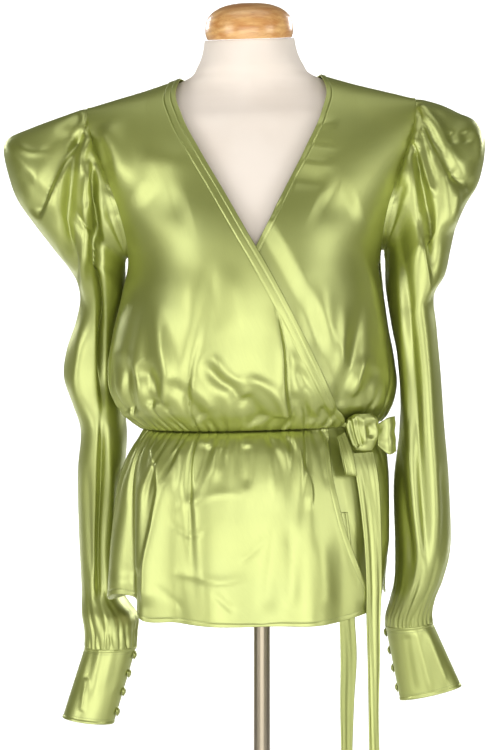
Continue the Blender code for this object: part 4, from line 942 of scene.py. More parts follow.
def cuff(name, side, edges, folds, button_angle):
    """A cuff with turned edges and a slit, its covered buttons and their loops."""
    angle = np.linspace(0, 2 * math.pi, CUFF_COLUMNS, endpoint=False)
    shares = spaced(44, near_end=12, end_share=0.1, near_start=12, start_share=0.1)
    base = np.array([cuff_ring(angle, side, edges, t) for t in shares])
    down = distance_down(base)
    up = down[-1] - down
    outward = away_from_axis(base, base.mean(axis=1, keepdims=True))
    lift = stroke_height(base[..., 0], base[..., 2], folds) * ease((np.sin(angle) + 0.2) / 0.4)
    slit = np.abs(turn_back(angle - button_angle)) * CUFF_ROUND
    lift = lift + turned_edge(down, CUFF_TURN) + turned_edge(up, CUFF_TURN)
    lift = lift - SLIT_DEPTH * np.exp(-((slit / SLIT_WIDTH) ** 2))
    grid = base + outward * lift[..., None]
    edge = np.stack([np.minimum(down, up), angle[None, :] * CUFF_ROUND + 0 * down], -1)
    pieces = [cloth_piece(name, grid, CUFF_WALL, satin, tube=True, flip=side > 0, edge=edge)]
    for number, t in enumerate(BUTTON_ROWS, 1):
        spot = cuff_ring(np.array([button_angle]), side, edges, t)[0]
        centre = cuff_ring(angle, side, edges, t).mean(axis=0)
        pieces += button(f"{name}_button_{number}", spot, away_from_axis(spot, centre))
    return pieces


def button(name, seat, away):
    """A dome r = R cos(t), h = H sin(t)^0.8 turned about its axis, and a loop of cord round it."""
    across = unit(np.cross(away, (0, 0, 1.0)))
    up = np.cross(across, away)
    turns = np.linspace(0, 2 * math.pi, BUTTON_SIDES, endpoint=False)[None, :]
    t = np.linspace(0.02, math.pi / 2, 12)[:, None]
    radius = BUTTON_RADIUS * np.cos(t) * np.minimum(1, 0.9 + 2 * t)
    rise = BUTTON_STAND + (BUTTON_HEIGHT - BUTTON_STAND) * np.sin(t) ** 0.8
    around = across * np.cos(turns)[..., None] + up * np.sin(turns)[..., None]
    dome = seat + around * radius[..., None] + away * rise[..., None]
    low = seat + around[0] * BUTTON_RADIUS * 0.55 + away * 0.35 * MM
    dome = np.concatenate([low[None], dome])
    cap = closed_tube(name, dome, satin)
    bend = np.linspace(-0.15 * math.pi, 1.15 * math.pi, 26)
    reach = BUTTON_RADIUS + LOOP_GAP
    path = (seat + up * (np.cos(bend) * reach)[:, None] + across * (np.sin(bend) * reach)[:, None]
            + away * LOOP_GAP)
    loop = closed_tube(name.replace("button", "loop"), cord_rings(path, LOOP_RADIUS), satin)
    return [cap, loop]


def cord_rings(path, radius, sides=10):
    """Circles of the given radius at right angles to a path."""
    tangent = unit(np.gradient(path, axis=0))
    first = unit(np.cross(tangent, (0.0, 0.0, 1.0)) + 1e-9)
    second = np.cross(tangent, first)
    turns = np.linspace(0, 2 * math.pi, sides, endpoint=False)
    return (path[:, None] + radius * (first[:, None] * np.cos(turns)[:, None]
                                      + second[:, None] * np.sin(turns)[:, None]))


def closed_tube(name, rings, finish, lean=True):
    """Rings joined into a tube and closed at both ends by a point in their middle."""
    rows, columns = rings.shape[:2]
    points = np.concatenate([rings.reshape(-1, 3), rings[0].mean(axis=0)[None],
                             rings[-1].mean(axis=0)[None]])
    quads = grid_faces(rows, columns, True)
    index = np.arange(columns)
    after = (index + 1) % columns
    start = np.stack([np.full(columns, rows * columns), index, after], -1)
    last = (rows - 1) * columns
    end = np.stack([np.full(columns, rows * columns + 1), last + after, last + index], -1)
    faces = quads.tolist() + start.tolist() + end.tolist()
    mesh = bpy.data.meshes.new(name)
    placed = leaned(points) if lean else points
    mesh.from_pydata(placed.tolist(), [], faces)
    mesh.shade_smooth()
    mesh.uv_layers.new(name="cloth").data.foreach_set("uv", np.zeros(2 * sum(map(len, faces))))
    mesh.uv_layers.new(name="edge").data.foreach_set("uv", np.ones(2 * sum(map(len, faces))))
    mesh.materials.append(finish)
    made = bpy.data.objects.new(name, mesh)
    bpy.context.scene.collection.objects.link(made)
    outwards(made)
    return made


def outwards(made):
    """Turn the faces of a closed piece so that they all point out of it."""
    points = np.empty(3 * len(made.data.vertices))
    made.data.vertices.foreach_get("co", points)
    points = points.reshape(-1, 3)
    made.data.calc_loop_triangles()
    corners = np.empty(3 * len(made.data.loop_triangles), int)
    made.data.loop_triangles.foreach_get("vertices", corners)
    a, b, c = points[corners.reshape(-1, 3)].transpose(1, 0, 2)
    if np.sum(a * np.cross(b, c)) < 0:
        made.data.flip_normals()


print("buttons on a cuff:", len(BUTTON_ROWS))

# %% [markdown]
# ## The tie
#
# A strip of satin comes out of each front at the waist. The two are tied in a bow at the
# wearer's left: a lumpy knot, one short loop that hangs, one that stands out sideways, and two
# long narrow tails. Each strip is a band carried along a few rows of edge points.

# %% Tie measurements
TIE_WALL = 1.6 * MM
TAIL_BACK_WALL = 1.2 * MM
TIE_TURN = 2.0 * MM
STRIP_STEPS = 40
STRIP_COLUMNS = 21
# both edge points of each row, each as x, y, height
TIE_TAIL_FRONT = (
    ((0.105, -0.0932, 0.9672), (0.130, -0.0850, 0.9676)),
    ((0.108, -0.0985, 0.9450), (0.134, -0.0905, 0.9450)),
    ((0.112, -0.1010, 0.9120), (0.136, -0.0925, 0.9120)),
    ((0.116, -0.1025, 0.8620), (0.136, -0.0935, 0.8620)),
    ((0.117, -0.1020, 0.8120), (0.135, -0.0935, 0.8120)),
    ((0.116, -0.1010, 0.7750), (0.133, -0.0935, 0.7750)),
    ((0.116, -0.1000, 0.7200), (0.131, -0.0940, 0.7200)),
    ((0.1155, -0.0990, 0.6600), (0.128, -0.0945, 0.6600)),
    ((0.115, -0.0985, 0.6030), (0.127, -0.0945, 0.6030)),
)
TIE_LOOP_LOWER = (
    ((0.0880, -0.0960, 0.9870), (0.0975, -0.0930, 0.9920)),
    ((0.0925, -0.1055, 0.9680), (0.1045, -0.1020, 0.9700)),
    ((0.0960, -0.1085, 0.9500), (0.1080, -0.1050, 0.9480)),
    ((0.0966, -0.1060, 0.9450), (0.1086, -0.1025, 0.9430)),
    ((0.0955, -0.1025, 0.9500), (0.1075, -0.0990, 0.9490)),
    ((0.0920, -0.0995, 0.9680), (0.1030, -0.0955, 0.9700)),
    ((0.0890, -0.0925, 0.9840), (0.0975, -0.0895, 0.9880)),
)
TIE_LOOP_SIDE = (
    ((0.1362, -0.0800, 0.9740), (0.1382, -0.0790, 1.0000)),
    ((0.1480, -0.0830, 0.9640), (0.1480, -0.0830, 1.0070)),
    ((0.1550, -0.0760, 0.9660), (0.1550, -0.0760, 1.0080)),
    ((0.1550, -0.0700, 0.9680), (0.1550, -0.0700, 1.0070)),
    ((0.1480, -0.0650, 0.9700), (0.1480, -0.0650, 1.0040)),
    ((0.1400, -0.0680, 0.9720), (0.1400, -0.0680, 1.0000)),
)
# height, middle x, middle y, half width, half depth
TIE_KNOT = (
    (0.9685, 0.1185, -0.0840, 0.0100, 0.0045),
    (0.9720, 0.1185, -0.0838, 0.0125, 0.0072),
    (0.9850, 0.1185, -0.0820, 0.0175, 0.0105),
    (0.9990, 0.1180, -0.0812, 0.0195, 0.0108),
    (1.0070, 0.1185, -0.0850, 0.0180, 0.0090),
    (1.0130, 0.1190, -0.0880, 0.0100, 0.0050),
)
# height, middle x, half width
TIE_TAIL_BACK = ((0.900, 0.092, 0.0085), (0.865, 0.0950, 0.0085), (0.830, 0.0965, 0.0085),
                 (0.800, 0.0970, 0.0085), (0.774, 0.0970, 0.0085), (0.730, 0.0975, 0.0090),
                 (0.680, 0.0945, 0.0080), (0.640, 0.0930, 0.0070), (0.603, 0.0920, 0.0060))
TAIL_BACK_LIFT = -5.2 * MM
KNOT_FOLDS = (
    (-2.6, 1.4, 1.8, 0.1, 0.1, ((103, 1008), (107, 990), (112, 973))),
    (1.6, 1.8, 1.8, 0.1, 0.1, ((100, 1004), (103, 990), (108, 974))),
    (-2.0, 1.2, 1.6, 0.1, 0.1, ((111, 1011), (113, 992), (117, 974))),
    (1.8, 2.2, 2.2, 0.1, 0.1, ((107, 1011), (110, 992), (114, 975))),
    (-3.4, 4, 4, 0.3, 0.3, ((124, 1003), (128, 992), (127, 982))),
    (1.8, 2.4, 2.4, 0.2, 0.2, ((119, 1010), (120, 992), (121, 976))),
    (1.6, 2, 2, 0.3, 0.3, ((131, 1003), (135, 992), (132, 979))),
)


def strip(name, rows, wall, wave, seed):
    """A band between two smooth lines of edge points, with soft folds along it."""
    edges = np.array(rows)
    place = np.arange(len(edges))
    steps = STRIP_STEPS * (len(edges) - 1)
    fine = smooth(np.linspace(0, len(edges) - 1, steps), place, edges)
    share = np.linspace(0, 1, STRIP_COLUMNS)[None, :, None]
    grid = fine[:, None, 0] * (1 - share) + fine[:, None, 1] * share
    random = np.random.default_rng(seed)
    t = share[..., 0]
    along = np.linspace(0, 1, len(grid))[:, None]
    fold = np.sin(2 * np.pi * (1.3 * t + 0.5 * along + random.uniform())) * np.sin(np.pi * t)
    fold = fold + 0.5 * np.sin(2 * np.pi * (2.6 * t - 1.1 * along + random.uniform()))
    width = np.linalg.norm(fine[:, 0] - fine[:, 1], axis=-1)[:, None]
    roll = turned_edge(np.minimum(t, 1 - t) * width, TIE_TURN)
    grid = grid + surface_normals(grid) * (wave * fold + 0.5 * roll)[..., None]
    made = cloth_piece(name, grid, wall, satin)
    made.modifiers["wall"].offset = 1
    return made


def tie_pieces():
    """The bow: knot, hanging loop, side loop and both tails."""
    pieces = {
        "tie_tail_front": strip("satin_tail_front", TIE_TAIL_FRONT, TIE_WALL, 0.8 * MM, 3),
        "tie_loop_lower": strip("satin_loop_lower", TIE_LOOP_LOWER, TIE_WALL, 0.3 * MM, 4),
        "tie_loop_side": strip("satin_loop_side", TIE_LOOP_SIDE, TIE_WALL, 0.6 * MM, 5),
    }
    rows = []
    for height, middle, half in TIE_TAIL_BACK:
        x = np.array([middle - half, middle + half])
        on_peplum = np.full(2, max(height, HEM_FRONT))
        angle = angle_at(x, on_peplum)
        lift = flute_height(angle, on_peplum) + TAIL_BACK_LIFT
        placed = body_point(angle, on_peplum) + level_normal(angle, on_peplum) * lift[:, None]
        placed[:, 2] = height
        rows.append(placed)
    pieces["tie_tail_back"] = strip("satin_tail_back", rows, TAIL_BACK_WALL, 0.3 * MM, 6)
    turns = np.linspace(0, 2 * math.pi, 96, endpoint=False)
    table = np.array(TIE_KNOT)
    fine = smooth(np.linspace(0, len(table) - 1, 80), np.arange(len(table)), table)
    height, x, y, half_width, half_depth = fine.T[:, :, None]
    rings = np.stack([x + half_width * np.sin(turns), y - half_depth * np.cos(turns),
                      height + 0 * turns], -1)
    outward = surface_normals(rings, tube=True)
    outward = outward * np.sign(np.sum(outward[40] * (rings[40] - rings[40].mean(axis=0))))
    lift = stroke_height(rings[..., 0], rings[..., 2], KNOT_FOLDS) * ease(np.cos(turns) + 0.4)
    pieces["tie_knot"] = closed_tube("satin_knot", rings + outward * lift[..., None], satin)
    return pieces


front_drop = TIE_TAIL_FRONT[0][0][2] - TIE_TAIL_FRONT[-1][0][2]
print("drop of the front tail, metres:", round(front_drop, 3))

# %% [markdown]
# ## The dress form
#
# The form is a padded torso under stretched cream cloth, ending in a neck with a turned wooden
# cap, on a steel pole with a round foot. The torso is a stack of rounded sections like the
# blouse. The cap, the pole and the foot are profiles turned about an axis.

# %% Form surfaces
# height, half width, depth front and back, middle y, squareness
FORM = (
    (0.812, 0.122, 0.098, 0.084, 0.000, 2.0),
    (0.818, 0.128, 0.104, 0.090, 0.000, 2.0),
    (0.840, 0.132, 0.107, 0.094, 0.000, 2.0),
    (0.900, 0.131, 0.102, 0.092, 0.000, 2.0),
    (0.960, 0.123, 0.089, 0.080, 0.000, 2.0),
    (0.998, 0.119, 0.083, 0.075, 0.000, 2.0),
    (1.040, 0.124, 0.091, 0.082, 0.000, 2.0),
    (1.100, 0.133, 0.112, 0.094, 0.000, 2.0),
    (1.155, 0.138, 0.126, 0.101, 0.000, 2.0),
    (1.200, 0.138, 0.121, 0.104, 0.000, 2.0),
    (1.260, 0.146, 0.103, 0.100, 0.000, 2.0),
    (1.310, 0.158, 0.085, 0.092, 0.000, 1.95),
    (1.345, 0.167, 0.070, 0.080, 0.000, 1.85),
    (1.366, 0.168, 0.060, 0.070, 0.000, 1.7),
    (1.379, 0.158, 0.052, 0.062, 0.002, 1.55),
    (1.389, 0.134, 0.047, 0.054, 0.003, 1.45),
    (1.398, 0.108, 0.045, 0.047, 0.004, 1.4),
    (1.406, 0.088, 0.046, 0.045, 0.006, 1.5),
    (1.414, 0.0715, 0.047, 0.045, 0.007, 1.8),
    (1.425, 0.0635, 0.050, 0.048, 0.007, 2.0),
    (1.438, 0.0575, 0.051, 0.050, 0.006, 2.0),
    (1.4565, 0.0535, 0.051, 0.050, 0.004, 2.0),
)
CAP_RADIUS = 0.0524
CAP_HEIGHT = 0.0425
CAP_SEAT = 1.4570
CAP_TILT = math.radians(4.0)
TIP_FROM = 1.425
POLE_RADIUS = 0.010
BASE_RADIUS = 0.165
BASE_HEIGHT = 0.014
# shares of the radius and of the height
CAP_PROFILE = ((0.94, 0.0), (0.965, 0.02), (0.98, 0.08), (1.0, 0.18), (1.0, 0.32), (0.985, 0.43),
               (0.965, 0.53), (0.925, 0.62), (0.865, 0.71), (0.78, 0.795), (0.655, 0.875),
               (0.47, 0.95), (0.25, 0.99), (0.04, 1.0))
BASE_PROFILE = ((0.985, 0.0), (1.0, 0.08), (1.0, 0.32), (0.985, 0.46), (0.95, 0.56), (0.7, 0.74),
                (0.4, 0.88), (0.16, 0.98), (0.115, 1.0))


def turned(name, profile, finish, segments, centre=(0, 0, 0), tip=0.0, lean=False):
    """x = r cos(a), y = r sin(a): a smooth profile of radii and heights turned about its axis."""
    profile = np.array(profile, float)
    knots = np.arange(len(profile))
    fine = smooth(np.linspace(0, len(profile) - 1, 6 * len(profile)), knots, profile)
    turns = np.linspace(0, 2 * math.pi, segments, endpoint=False)
    radius, height = fine[:, 0:1], fine[:, 1:2]
    x, y, z = np.broadcast_arrays(radius * np.cos(turns), radius * np.sin(turns), height)
    tipped = np.stack([x, y * math.cos(tip) - z * math.sin(tip),
                       z * math.cos(tip) + y * math.sin(tip)], -1)
    return closed_tube(name, tipped + np.array(centre), finish, lean)


def torso():
    """The padded torso: smooth sections, whose neck tips forward a little at the top."""
    turns = np.linspace(0, 2 * math.pi, 120, endpoint=False)
    table = np.array(FORM)
    height = np.interp(np.linspace(0, 1, 190), np.linspace(0, 1, len(table)), table[:, 0])
    half, front, back, centre_y, square = (table_curve(FORM, height, column)[:, None]
                                           for column in range(1, 6))
    height = height[:, None]
    depth = np.where(np.cos(turns) > 0, front, back)
    side = np.sign(np.sin(turns)) * np.abs(np.sin(turns)) ** (2 / square)
    fore = np.sign(np.cos(turns)) * np.abs(np.cos(turns)) ** (2 / square)
    y = centre_y - depth * fore
    tip = ease((height - TIP_FROM) / (FORM[-1][0] - TIP_FROM))
    rings = np.stack([half * side, y, height + y * math.tan(CAP_TILT) * tip], -1)
    return closed_tube("form_cloth_torso", rings, form_cloth)


print("neck, metres across:", round(2 * FORM[-1][1], 3))

# %% [markdown]
# ## Materials as arithmetic
#
# A Blender material is a graph of nodes. The class below wraps one socket of such a graph, so
# that `1 - mask * 0.3` adds the Math nodes by itself. Colours and vectors go through their own
# nodes, because a Math node would turn a colour grey.

# %% Sockets that can be added and multiplied
class Sock:
    """A value in a material: +, -, * and / add Math nodes, and so do the named methods."""

    def __init__(self, tree, socket):
        self.tree = tree
        self.socket = socket

    def math(self, operation, *others):
        node = self.tree.nodes.new("ShaderNodeMath")
        node.operation = operation
        for slot, value in zip(node.inputs, others):
            if isinstance(value, Sock):
                self.tree.links.new(value.socket, slot)
            else:
                slot.default_value = value
        return Sock(self.tree, node.outputs[0])

    def __add__(self, other):
        return self.math("ADD", self, other)

    def __radd__(self, other):
        return self.math("ADD", other, self)

    def __sub__(self, other):
        return self.math("SUBTRACT", self, other)

    def __rsub__(self, other):
        return self.math("SUBTRACT", other, self)

    def __mul__(self, other):
        return self.math("MULTIPLY", self, other)

    def __rmul__(self, other):
        return self.math("MULTIPLY", other, self)

    def __truediv__(self, other):
        return self.math("DIVIDE", self, other)

    def clamped(self):
        return self.math("MINIMUM", self.math("MAXIMUM", self, 0.0), 1.0)

    def between(self, low, high):
        """0 at low, 1 at high and a smooth step between."""
        node = self.tree.nodes.new("ShaderNodeMapRange")
        node.interpolation_type = "SMOOTHSTEP"
        self.tree.links.new(self.socket, node.inputs[0])
        node.inputs[1].default_value = low
        node.inputs[2].default_value = high
        return Sock(self.tree, node.outputs[0])


class Finish:
    """A material that starts as one Principled shader; add() makes any other node."""

    def __init__(self, name, **constants):
        self.material = bpy.data.materials.new(name)
        self.material.use_nodes = True
        self.tree = self.material.node_tree
        self.shader = self.tree.nodes["Principled BSDF"]
        for socket, value in constants.items():
            self.shader.inputs[socket.replace("_", " ")].default_value = value

    def add(self, kind, settings, sockets, output=0):
        """A node of a type: its settings are set first, then its sockets get values or links."""
        node = self.tree.nodes.new(kind)
        for name, value in settings.items():
            setattr(node, name, value)
        for name, value in sockets.items():
            if isinstance(value, Sock):
                self.tree.links.new(value.socket, node.inputs[name])
            else:
                node.inputs[name].default_value = value
        return Sock(self.tree, node.outputs[output])

    def place(self, scale):
        """Object coordinates, stretched by three scales."""
        where = self.add("ShaderNodeTexCoord", {}, {}, "Object")
        return self.add("ShaderNodeMapping", {}, {"Vector": where, "Scale": scale})

    def uv(self, layer):
        return self.add("ShaderNodeUVMap", {"uv_map": layer}, {})

    def split(self, vector):
        parts = self.add("ShaderNodeSeparateXYZ", {}, {"Vector": vector})
        node = parts.socket.node
        return [Sock(self.tree, output) for output in node.outputs]

    def noise(self, vector, scale, detail=3.0, roughness=0.5):
        return self.add("ShaderNodeTexNoise", {}, {"Vector": vector, "Scale": scale,
                                                   "Detail": detail, "Roughness": roughness})

    def mix(self, factor, first, second):
        """Colour between two colours; a colour is four numbers or a socket."""
        node = self.tree.nodes.new("ShaderNodeMix")
        node.data_type = "RGBA"
        for slot, value in ((0, factor), (6, first), (7, second)):
            if isinstance(value, Sock):
                self.tree.links.new(value.socket, node.inputs[slot])
            else:
                node.inputs[slot].default_value = value
        return Sock(self.tree, node.outputs[2])

    def feed(self, name, value):
        self.tree.links.new(value.socket, self.shader.inputs[name])

    def bump(self, height, strength, distance):
        self.feed("Normal", self.add("ShaderNodeBump", {}, {"Height": height, "Strength": strength,
                                                            "Distance": distance}))


print("shader helpers ready")

# %% [markdown]
# ## Satin
#
# Satin floats its warp threads over many weft threads, so that it mirrors light like brushed
# metal but only in the dye's own colour, over a soft matt base. A half metallic Principled
# shader with a middling roughness gives that. The weave is a fine bump along the cloth's own
# UV map, and slubs and press marks vary the roughness. Along sewn edges the second UV map draws
# a line of stitches.

# %% The satin
SATIN_LIGHT = (0.345, 0.385, 0.050, 1.0)
SATIN_DEEP = (0.31, 0.35, 0.042, 1.0)
SATIN_THREAD = (0.21, 0.24, 0.026, 1.0)
STITCH_LENGTH = 2.6 * MM
STITCH_WIDTH = 0.45 * MM
SLUB_STRETCH = (900.0, 60.0, 1.0)
WEAVE_SCALE = 420.0
GRAIN_SCALE = 1500.0


def make_satin():
    """Satin: two greens mixed by soft noise, woven bump, stitches along the sewn edges."""
    made = Finish("satin", Metallic=0.62, IOR=2.3, Specular_IOR_Level=1.0)
    cloth = made.uv("cloth")
    soft = made.noise(made.place((9.0, 9.0, 9.0)), 1.0, 2.0)
    threads = made.add("ShaderNodeMapping", {}, {"Vector": cloth, "Scale": SLUB_STRETCH})
    slub = made.noise(threads, 1.0)
    weave = made.add("ShaderNodeTexWave", {"wave_type": "BANDS", "bands_direction": "DIAGONAL"},
                     {"Vector": cloth, "Scale": WEAVE_SCALE, "Distortion": 1.2, "Detail": 1.0}, "Fac")
    grain = made.noise(cloth, GRAIN_SCALE, 2.0)
    away, along, _ = made.split(made.uv("edge"))
    off_line = away - EDGE_TURN
    line = 1 - off_line.math("ABSOLUTE", off_line).between(STITCH_WIDTH * 0.5, STITCH_WIDTH)
    stitches = along * (1 / STITCH_LENGTH)
    dash = stitches.math("FRACT", stitches).between(0.15, 0.3)
    stitch = line * dash
    colour = made.mix(soft.between(0.35, 0.65), SATIN_DEEP, SATIN_LIGHT)
    colour = made.mix((slub.between(0.2, 0.8) * 0.12).clamped(), colour, SATIN_THREAD)
    colour = made.mix((stitch * 0.6).clamped(), colour, SATIN_THREAD)
    made.feed("Base Color", colour)
    made.feed("Roughness", 0.41 + (slub - 0.5) * 0.08 + (soft - 0.5) * 0.06 + stitch * 0.2)
    made.bump(weave * 0.35 + grain * 0.5 + stitch * 2.0 + slub * 0.5, 0.16, 0.15 * MM)
    return made.material


satin = make_satin()
print("satin nodes:", len(satin.node_tree.nodes))

# %% [markdown]
# ## Form cloth, wood and steel
#
# The form is covered with matt cream jersey: a fine knit bump and a little sheen. The cap is
# varnished beech, whose grain runs slanting across it as stretched noise, under a clear coat.
# The pole is brushed steel, rough in fine rings around it.

# %% The other finishes
def make_form_cloth():
    """Cream jersey: faint mottling and a knitted bump of crossed waves."""
    made = Finish("form_cloth", Roughness=0.85)
    place = made.place((1.0, 1.0, 1.0))
    mottle = made.noise(place, 14.0, 3.0)
    knit = made.noise(place, 900.0, 2.0)
    made.feed("Base Color", made.mix(mottle.between(0.3, 0.7), (0.775, 0.685, 0.590, 1.0),
                                     (0.81, 0.725, 0.635, 1.0)))
    made.bump(knit + mottle * 0.5, 0.25, 0.3 * MM)
    return made.material


def make_wood():
    """Varnished beech: rings of grain, stretched along a slant, with fine darker pores."""
    made = Finish("varnished_wood", Roughness=0.42, Coat_Weight=0.6, Coat_Roughness=0.2)
    where = made.add("ShaderNodeTexCoord", {}, {}, "Object")
    slanted = made.add("ShaderNodeMapping", {}, {"Vector": where, "Rotation": (0.2, 0.62, 0.3),
                                                 "Scale": (9.0, 30.0, 60.0)})
    grain = made.noise(slanted, 2.2, 4.0, 0.6)
    pores = made.noise(slanted, 16.0, 2.0)
    rings = made.add("ShaderNodeTexWave", {"wave_type": "BANDS", "bands_direction": "Z"},
                     {"Vector": slanted, "Scale": 0.9, "Distortion": 5.0, "Detail": 2.0}, "Fac")
    colour = made.mix(grain.between(0.3, 0.7), (0.56, 0.24, 0.06, 1.0), (0.82, 0.50, 0.19, 1.0))
    colour = made.mix((rings * 0.35).clamped(), colour, (0.50, 0.215, 0.048, 1.0))
    colour = made.mix((pores.between(0.55, 0.8) * 0.35).clamped(), colour, (0.28, 0.10, 0.02, 1.0))
    made.feed("Base Color", colour)
    made.bump(grain + pores * 0.4, 0.15, 0.2 * MM)
    return made.material


def make_steel():
    """Brushed steel: rings of fine scratches around the pole vary the roughness."""
    made = Finish("brushed_steel", Metallic=1.0)
    scratch = made.noise(made.place((6.0, 6.0, 900.0)), 1.0, 3.0)
    smear = made.noise(made.place((30.0, 30.0, 8.0)), 1.0, 2.0)
    made.feed("Base Color", made.mix(smear, (0.22, 0.185, 0.13, 1.0), (0.34, 0.295, 0.22, 1.0)))
    made.feed("Roughness", 0.24 + scratch * 0.14)
    made.bump(scratch, 0.08, 0.05 * MM)
    return made.material


form_cloth = make_form_cloth()
wood = make_wood()
steel = make_steel()
print("materials:", len(bpy.data.materials))

# %% [markdown]
# ## Putting the pieces together
#
# Each piece now takes the place of its solid and says how much cloth it was cut from. A
# gathered piece hides more cloth than it shows, so its cut is larger than its area.

def declare(made, node):
    """The piece takes the place of a node's solid, which it hides, and moves with the frame's root.
    """
    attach(made, "root")
    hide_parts(node)
    return made


def declare_sheet(made, node, width, length, filled=1.0):
    """The piece is cloth cut from width by length, of which it filled a share."""
    declare(made, node)
    round(width * length * filled, 5)
    area = sum(polygon.area for polygon in made.data.polygons)
    print(made.name, "area", round(area, 4), "cut", round(width * length * filled, 4))


right_front = bodice_front("satin_right_front", -1, RIGHT_FRONT_FOLDS)
left_front = bodice_front("satin_left_front", 1, LEFT_FRONT_FOLDS)
back = bodice_back()
peplum_right = peplum_panel("satin_peplum_right", same_angle(-math.pi / 2),
                            lambda height: peplum_edge(height, -1), 250, PEPLUM_FOLDS, free=-1)
peplum_left = peplum_panel("satin_peplum_left", lambda height: peplum_edge(height, 1),
                           same_angle(math.pi / 2), 200, LEFT_PEPLUM_FOLDS, under=True, free=0)
peplum_back = peplum_panel("satin_peplum_back", same_angle(math.pi / 2),
                           same_angle(1.5 * math.pi), 220)
right_arm = sleeve("satin_right_sleeve", -1, RIGHT_SLEEVE, RIGHT_CUFF, RIGHT_SLEEVE_FOLDS, 21)
left_arm = sleeve("satin_left_sleeve", 1, LEFT_SLEEVE, LEFT_CUFF, LEFT_SLEEVE_FOLDS, 31)

# piece, node, cut width and length, what it rests on, filled share
PANELS = (
    (right_front, "bodice_right_front", 0.36, 0.44, "form_cloth_torso", 0.75),
    (left_front, "bodice_left_front", 0.34, 0.44, "form_cloth_torso", 0.72),
    (back, "bodice_back", 0.48, 0.46, "form_cloth_torso", 0.95),
    (peplum_right, "peplum_right_front", 0.48, 0.22, "satin_right_front", 1.0),
    (peplum_left, "peplum_left_front", 0.42, 0.22, "satin_left_front", 1.0),
    (peplum_back, "peplum_back", 0.56, 0.22, "satin_back", 1.0),
    (right_arm, "right_sleeve", 0.46, 0.58, "satin_right_front", 0.8),
    (left_arm, "left_sleeve", 0.46, 0.58, "satin_left_front", 0.8),
)
for panel, node, width, length, support, filled in PANELS:
    declare_sheet(panel, node, width, length, filled)

# %% Cuffs, buttons and tie
for side_name, side, edges, folds, button_angle, arm in (
        ("right_cuff", -1, RIGHT_CUFF, RIGHT_CUFF_FOLDS, math.radians(168), "satin_right_sleeve"),
        ("left_cuff", 1, LEFT_CUFF, LEFT_CUFF_FOLDS, math.radians(192), "satin_left_sleeve")):
    made, *trims = cuff("satin_" + side_name, side, edges, folds, button_angle)
    declare_sheet(made, side_name, 0.20, 0.10)
    for number in range(len(BUTTON_ROWS)):
        declare(trims[2 * number], f"{side_name}_button_{number + 1}")
        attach(trims[2 * number + 1], "root")
tie = tie_pieces()
# node, cut width and length
TIE_CUTS = (("tie_tail_front", 0.026, 0.31), ("tie_loop_lower", 0.013, 0.10),
            ("tie_loop_side", 0.040, 0.05), ("tie_tail_back", 0.018, 0.32))
for node, width, length in TIE_CUTS:
    declare_sheet(tie[node], node, width, length)
declare(tie["tie_knot"], "tie_knot")

# %% The form
POLE_GAP = 0.3 * MM
POLE_MIDDLE = 0.4
declare(torso(), "form_torso")
declare(turned("wood_cap", [(CAP_RADIUS * r, CAP_HEIGHT * h) for r, h in CAP_PROFILE], wood, 96,
               centre=(0, 0, CAP_SEAT), tip=CAP_TILT, lean=True), "form_neck_cap")
pole_heights = (BASE_HEIGHT + POLE_GAP, POLE_MIDDLE, FORM[0][0] - POLE_GAP)
declare(turned("steel_pole", [(POLE_RADIUS, height) for height in pole_heights], steel, 64),
        "form_pole")
foot = [(BASE_RADIUS * r, BASE_HEIGHT * h) for r, h in BASE_PROFILE]
declare(turned("steel_base", foot, steel, 128), "form_base")

# %% [markdown]
# ## Camera, floor and light
#
# The camera stands three metres away at chest height with a long lens, so that the blouse fills
# the picture without distortion. Satin shows what surrounds it: one wide low soft box behind the
# camera makes the broad highlights, two weaker ones light the sides, and the darker room above
# makes the shaded folds. Far behind the form a strip of white paper closes the picture. It
# stands so far away that the camera can also walk around the form and look from behind.

# %% Camera
EYE = Vector((-0.0144, -3.0, 1.25))
AIM = Vector((-0.0144, 0.0, 1.056))
LENS = 120.25
SENSOR_WIDTH = 36.0
camera = bpy.data.objects.new("camera", bpy.data.cameras.new("camera"))
bpy.context.scene.collection.objects.link(camera)
camera.location = EYE
camera.rotation_euler = (AIM - EYE).to_track_quat("-Z", "Y").to_euler()
camera.data.lens = LENS
camera.data.sensor_width = SENSOR_WIDTH
bpy.context.scene.camera = camera
print("camera distance:", round((AIM - EYE).length, 2))

# %% Floor and backdrop
FLOOR_HALF = 13.0
FLOOR_DROP = 1.0 * MM
PAPER_HALF = 2.2
PAPER_DROP = 0.5 * MM
PAPER_START = 2.0
PAPER_BEND = 1.5
PAPER_Y = 10.5
PAPER_TOP = 4.0


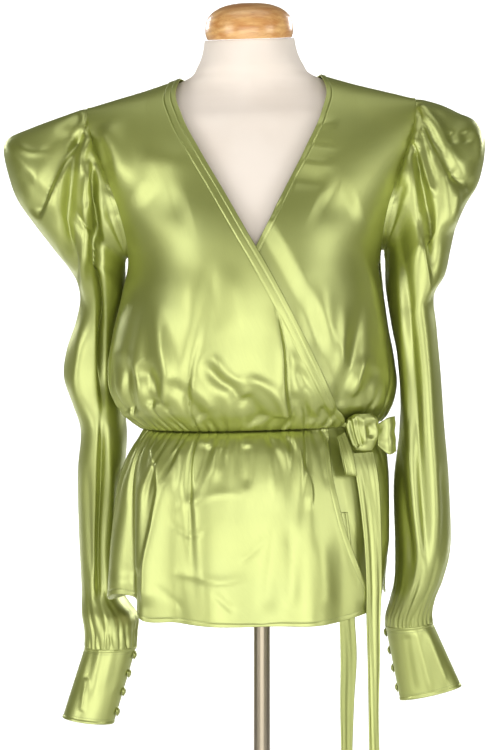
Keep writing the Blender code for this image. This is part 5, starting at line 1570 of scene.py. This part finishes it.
def studio_sheets():
    """A wide floor, and a strip of paper that bends up far behind through a quarter circle."""
    corner = np.array([-FLOOR_HALF, FLOOR_HALF])
    floor = np.stack(np.broadcast_arrays(corner[None, :], corner[:, None], -FLOOR_DROP), -1)
    bend = np.linspace(0, math.pi / 2, 24)
    y = np.concatenate([[PAPER_START], PAPER_Y - PAPER_BEND + PAPER_BEND * np.sin(bend), [PAPER_Y]])
    z = np.concatenate([[0.0], PAPER_BEND - PAPER_BEND * np.cos(bend), [PAPER_TOP]])
    x = np.array([-PAPER_HALF, PAPER_HALF])
    sweep = np.stack(np.broadcast_arrays(x[None, :], y[:, None], z[:, None] - PAPER_DROP), -1)
    return [mesh_object(name, grid.reshape(-1, 3), grid_faces(len(grid), 2, False)[:, ::-1], paper)
            for name, grid in (("studio_floor", floor), ("studio_backdrop", sweep))]


def make_paper():
    """White studio paper: matt, with the faintest mottling."""
    made = Finish("paper", Roughness=0.9)
    mottle = made.noise(made.place((1.0, 1.0, 1.0)), 3.0, 2.0)
    made.feed("Base Color", made.mix(mottle, (0.90, 0.90, 0.895, 1.0), (0.92, 0.92, 0.92, 1.0)))
    return made.material


paper = make_paper()
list(studio_sheets())
print("backdrop, metres behind the form:", PAPER_Y)

# %% Lights
ROOM_LIGHT = 0.10
# name, place and aim in metres, width, height, power in watts
SOFT_BOXES = [
    ("box_front", (-0.1, -3.6, 1.02), (0, 0, 1.05), 3.4, 1.8, 66),
    ("box_left", (-2.6, -1.9, 1.3), (0, 0, 1.1), 1.2, 1.8, 37),
    ("box_right", (2.6, -1.9, 1.3), (0, 0, 1.1), 1.2, 1.8, 31),
    ("box_top", (0, -0.3, 3.2), (0, 0, 1.1), 2.2, 1.6, 14),
    ("box_low", (0, -2.0, 0.25), (0, 0, 1.0), 2.4, 0.7, 9),
    ("strip_left", (-3.2, 4.6, 2.6), (-0.3, 5.2, 0), 3.0, 2.0, 230),
    ("strip_right", (3.2, 4.6, 2.6), (0.3, 5.2, 0), 3.0, 2.0, 230),
    ("strip_far", (0, 6.0, 4.0), (0, 10.5, 1.2), 4.0, 2.0, 220),
]
for name, where, aim, width, height, power in SOFT_BOXES:
    light = bpy.data.lights.new(name, "AREA")
    light.shape = "RECTANGLE"
    light.size = width
    light.size_y = height
    light.energy = power
    box = bpy.data.objects.new(name, light)
    bpy.context.scene.collection.objects.link(box)
    box.location = where
    box.rotation_euler = (Vector(aim) - Vector(where)).to_track_quat("-Z", "Y").to_euler()
bpy.context.scene.view_settings.view_transform = "Standard"
world = bpy.data.worlds.new("studio")
bpy.context.scene.world = world
world.use_nodes = True
background = world.node_tree.nodes["Background"]
background.inputs["Color"].default_value = (1.0, 1.0, 1.0, 1.0)
background.inputs["Strength"].default_value = ROOM_LIGHT
print("lights:", len(bpy.data.lights))
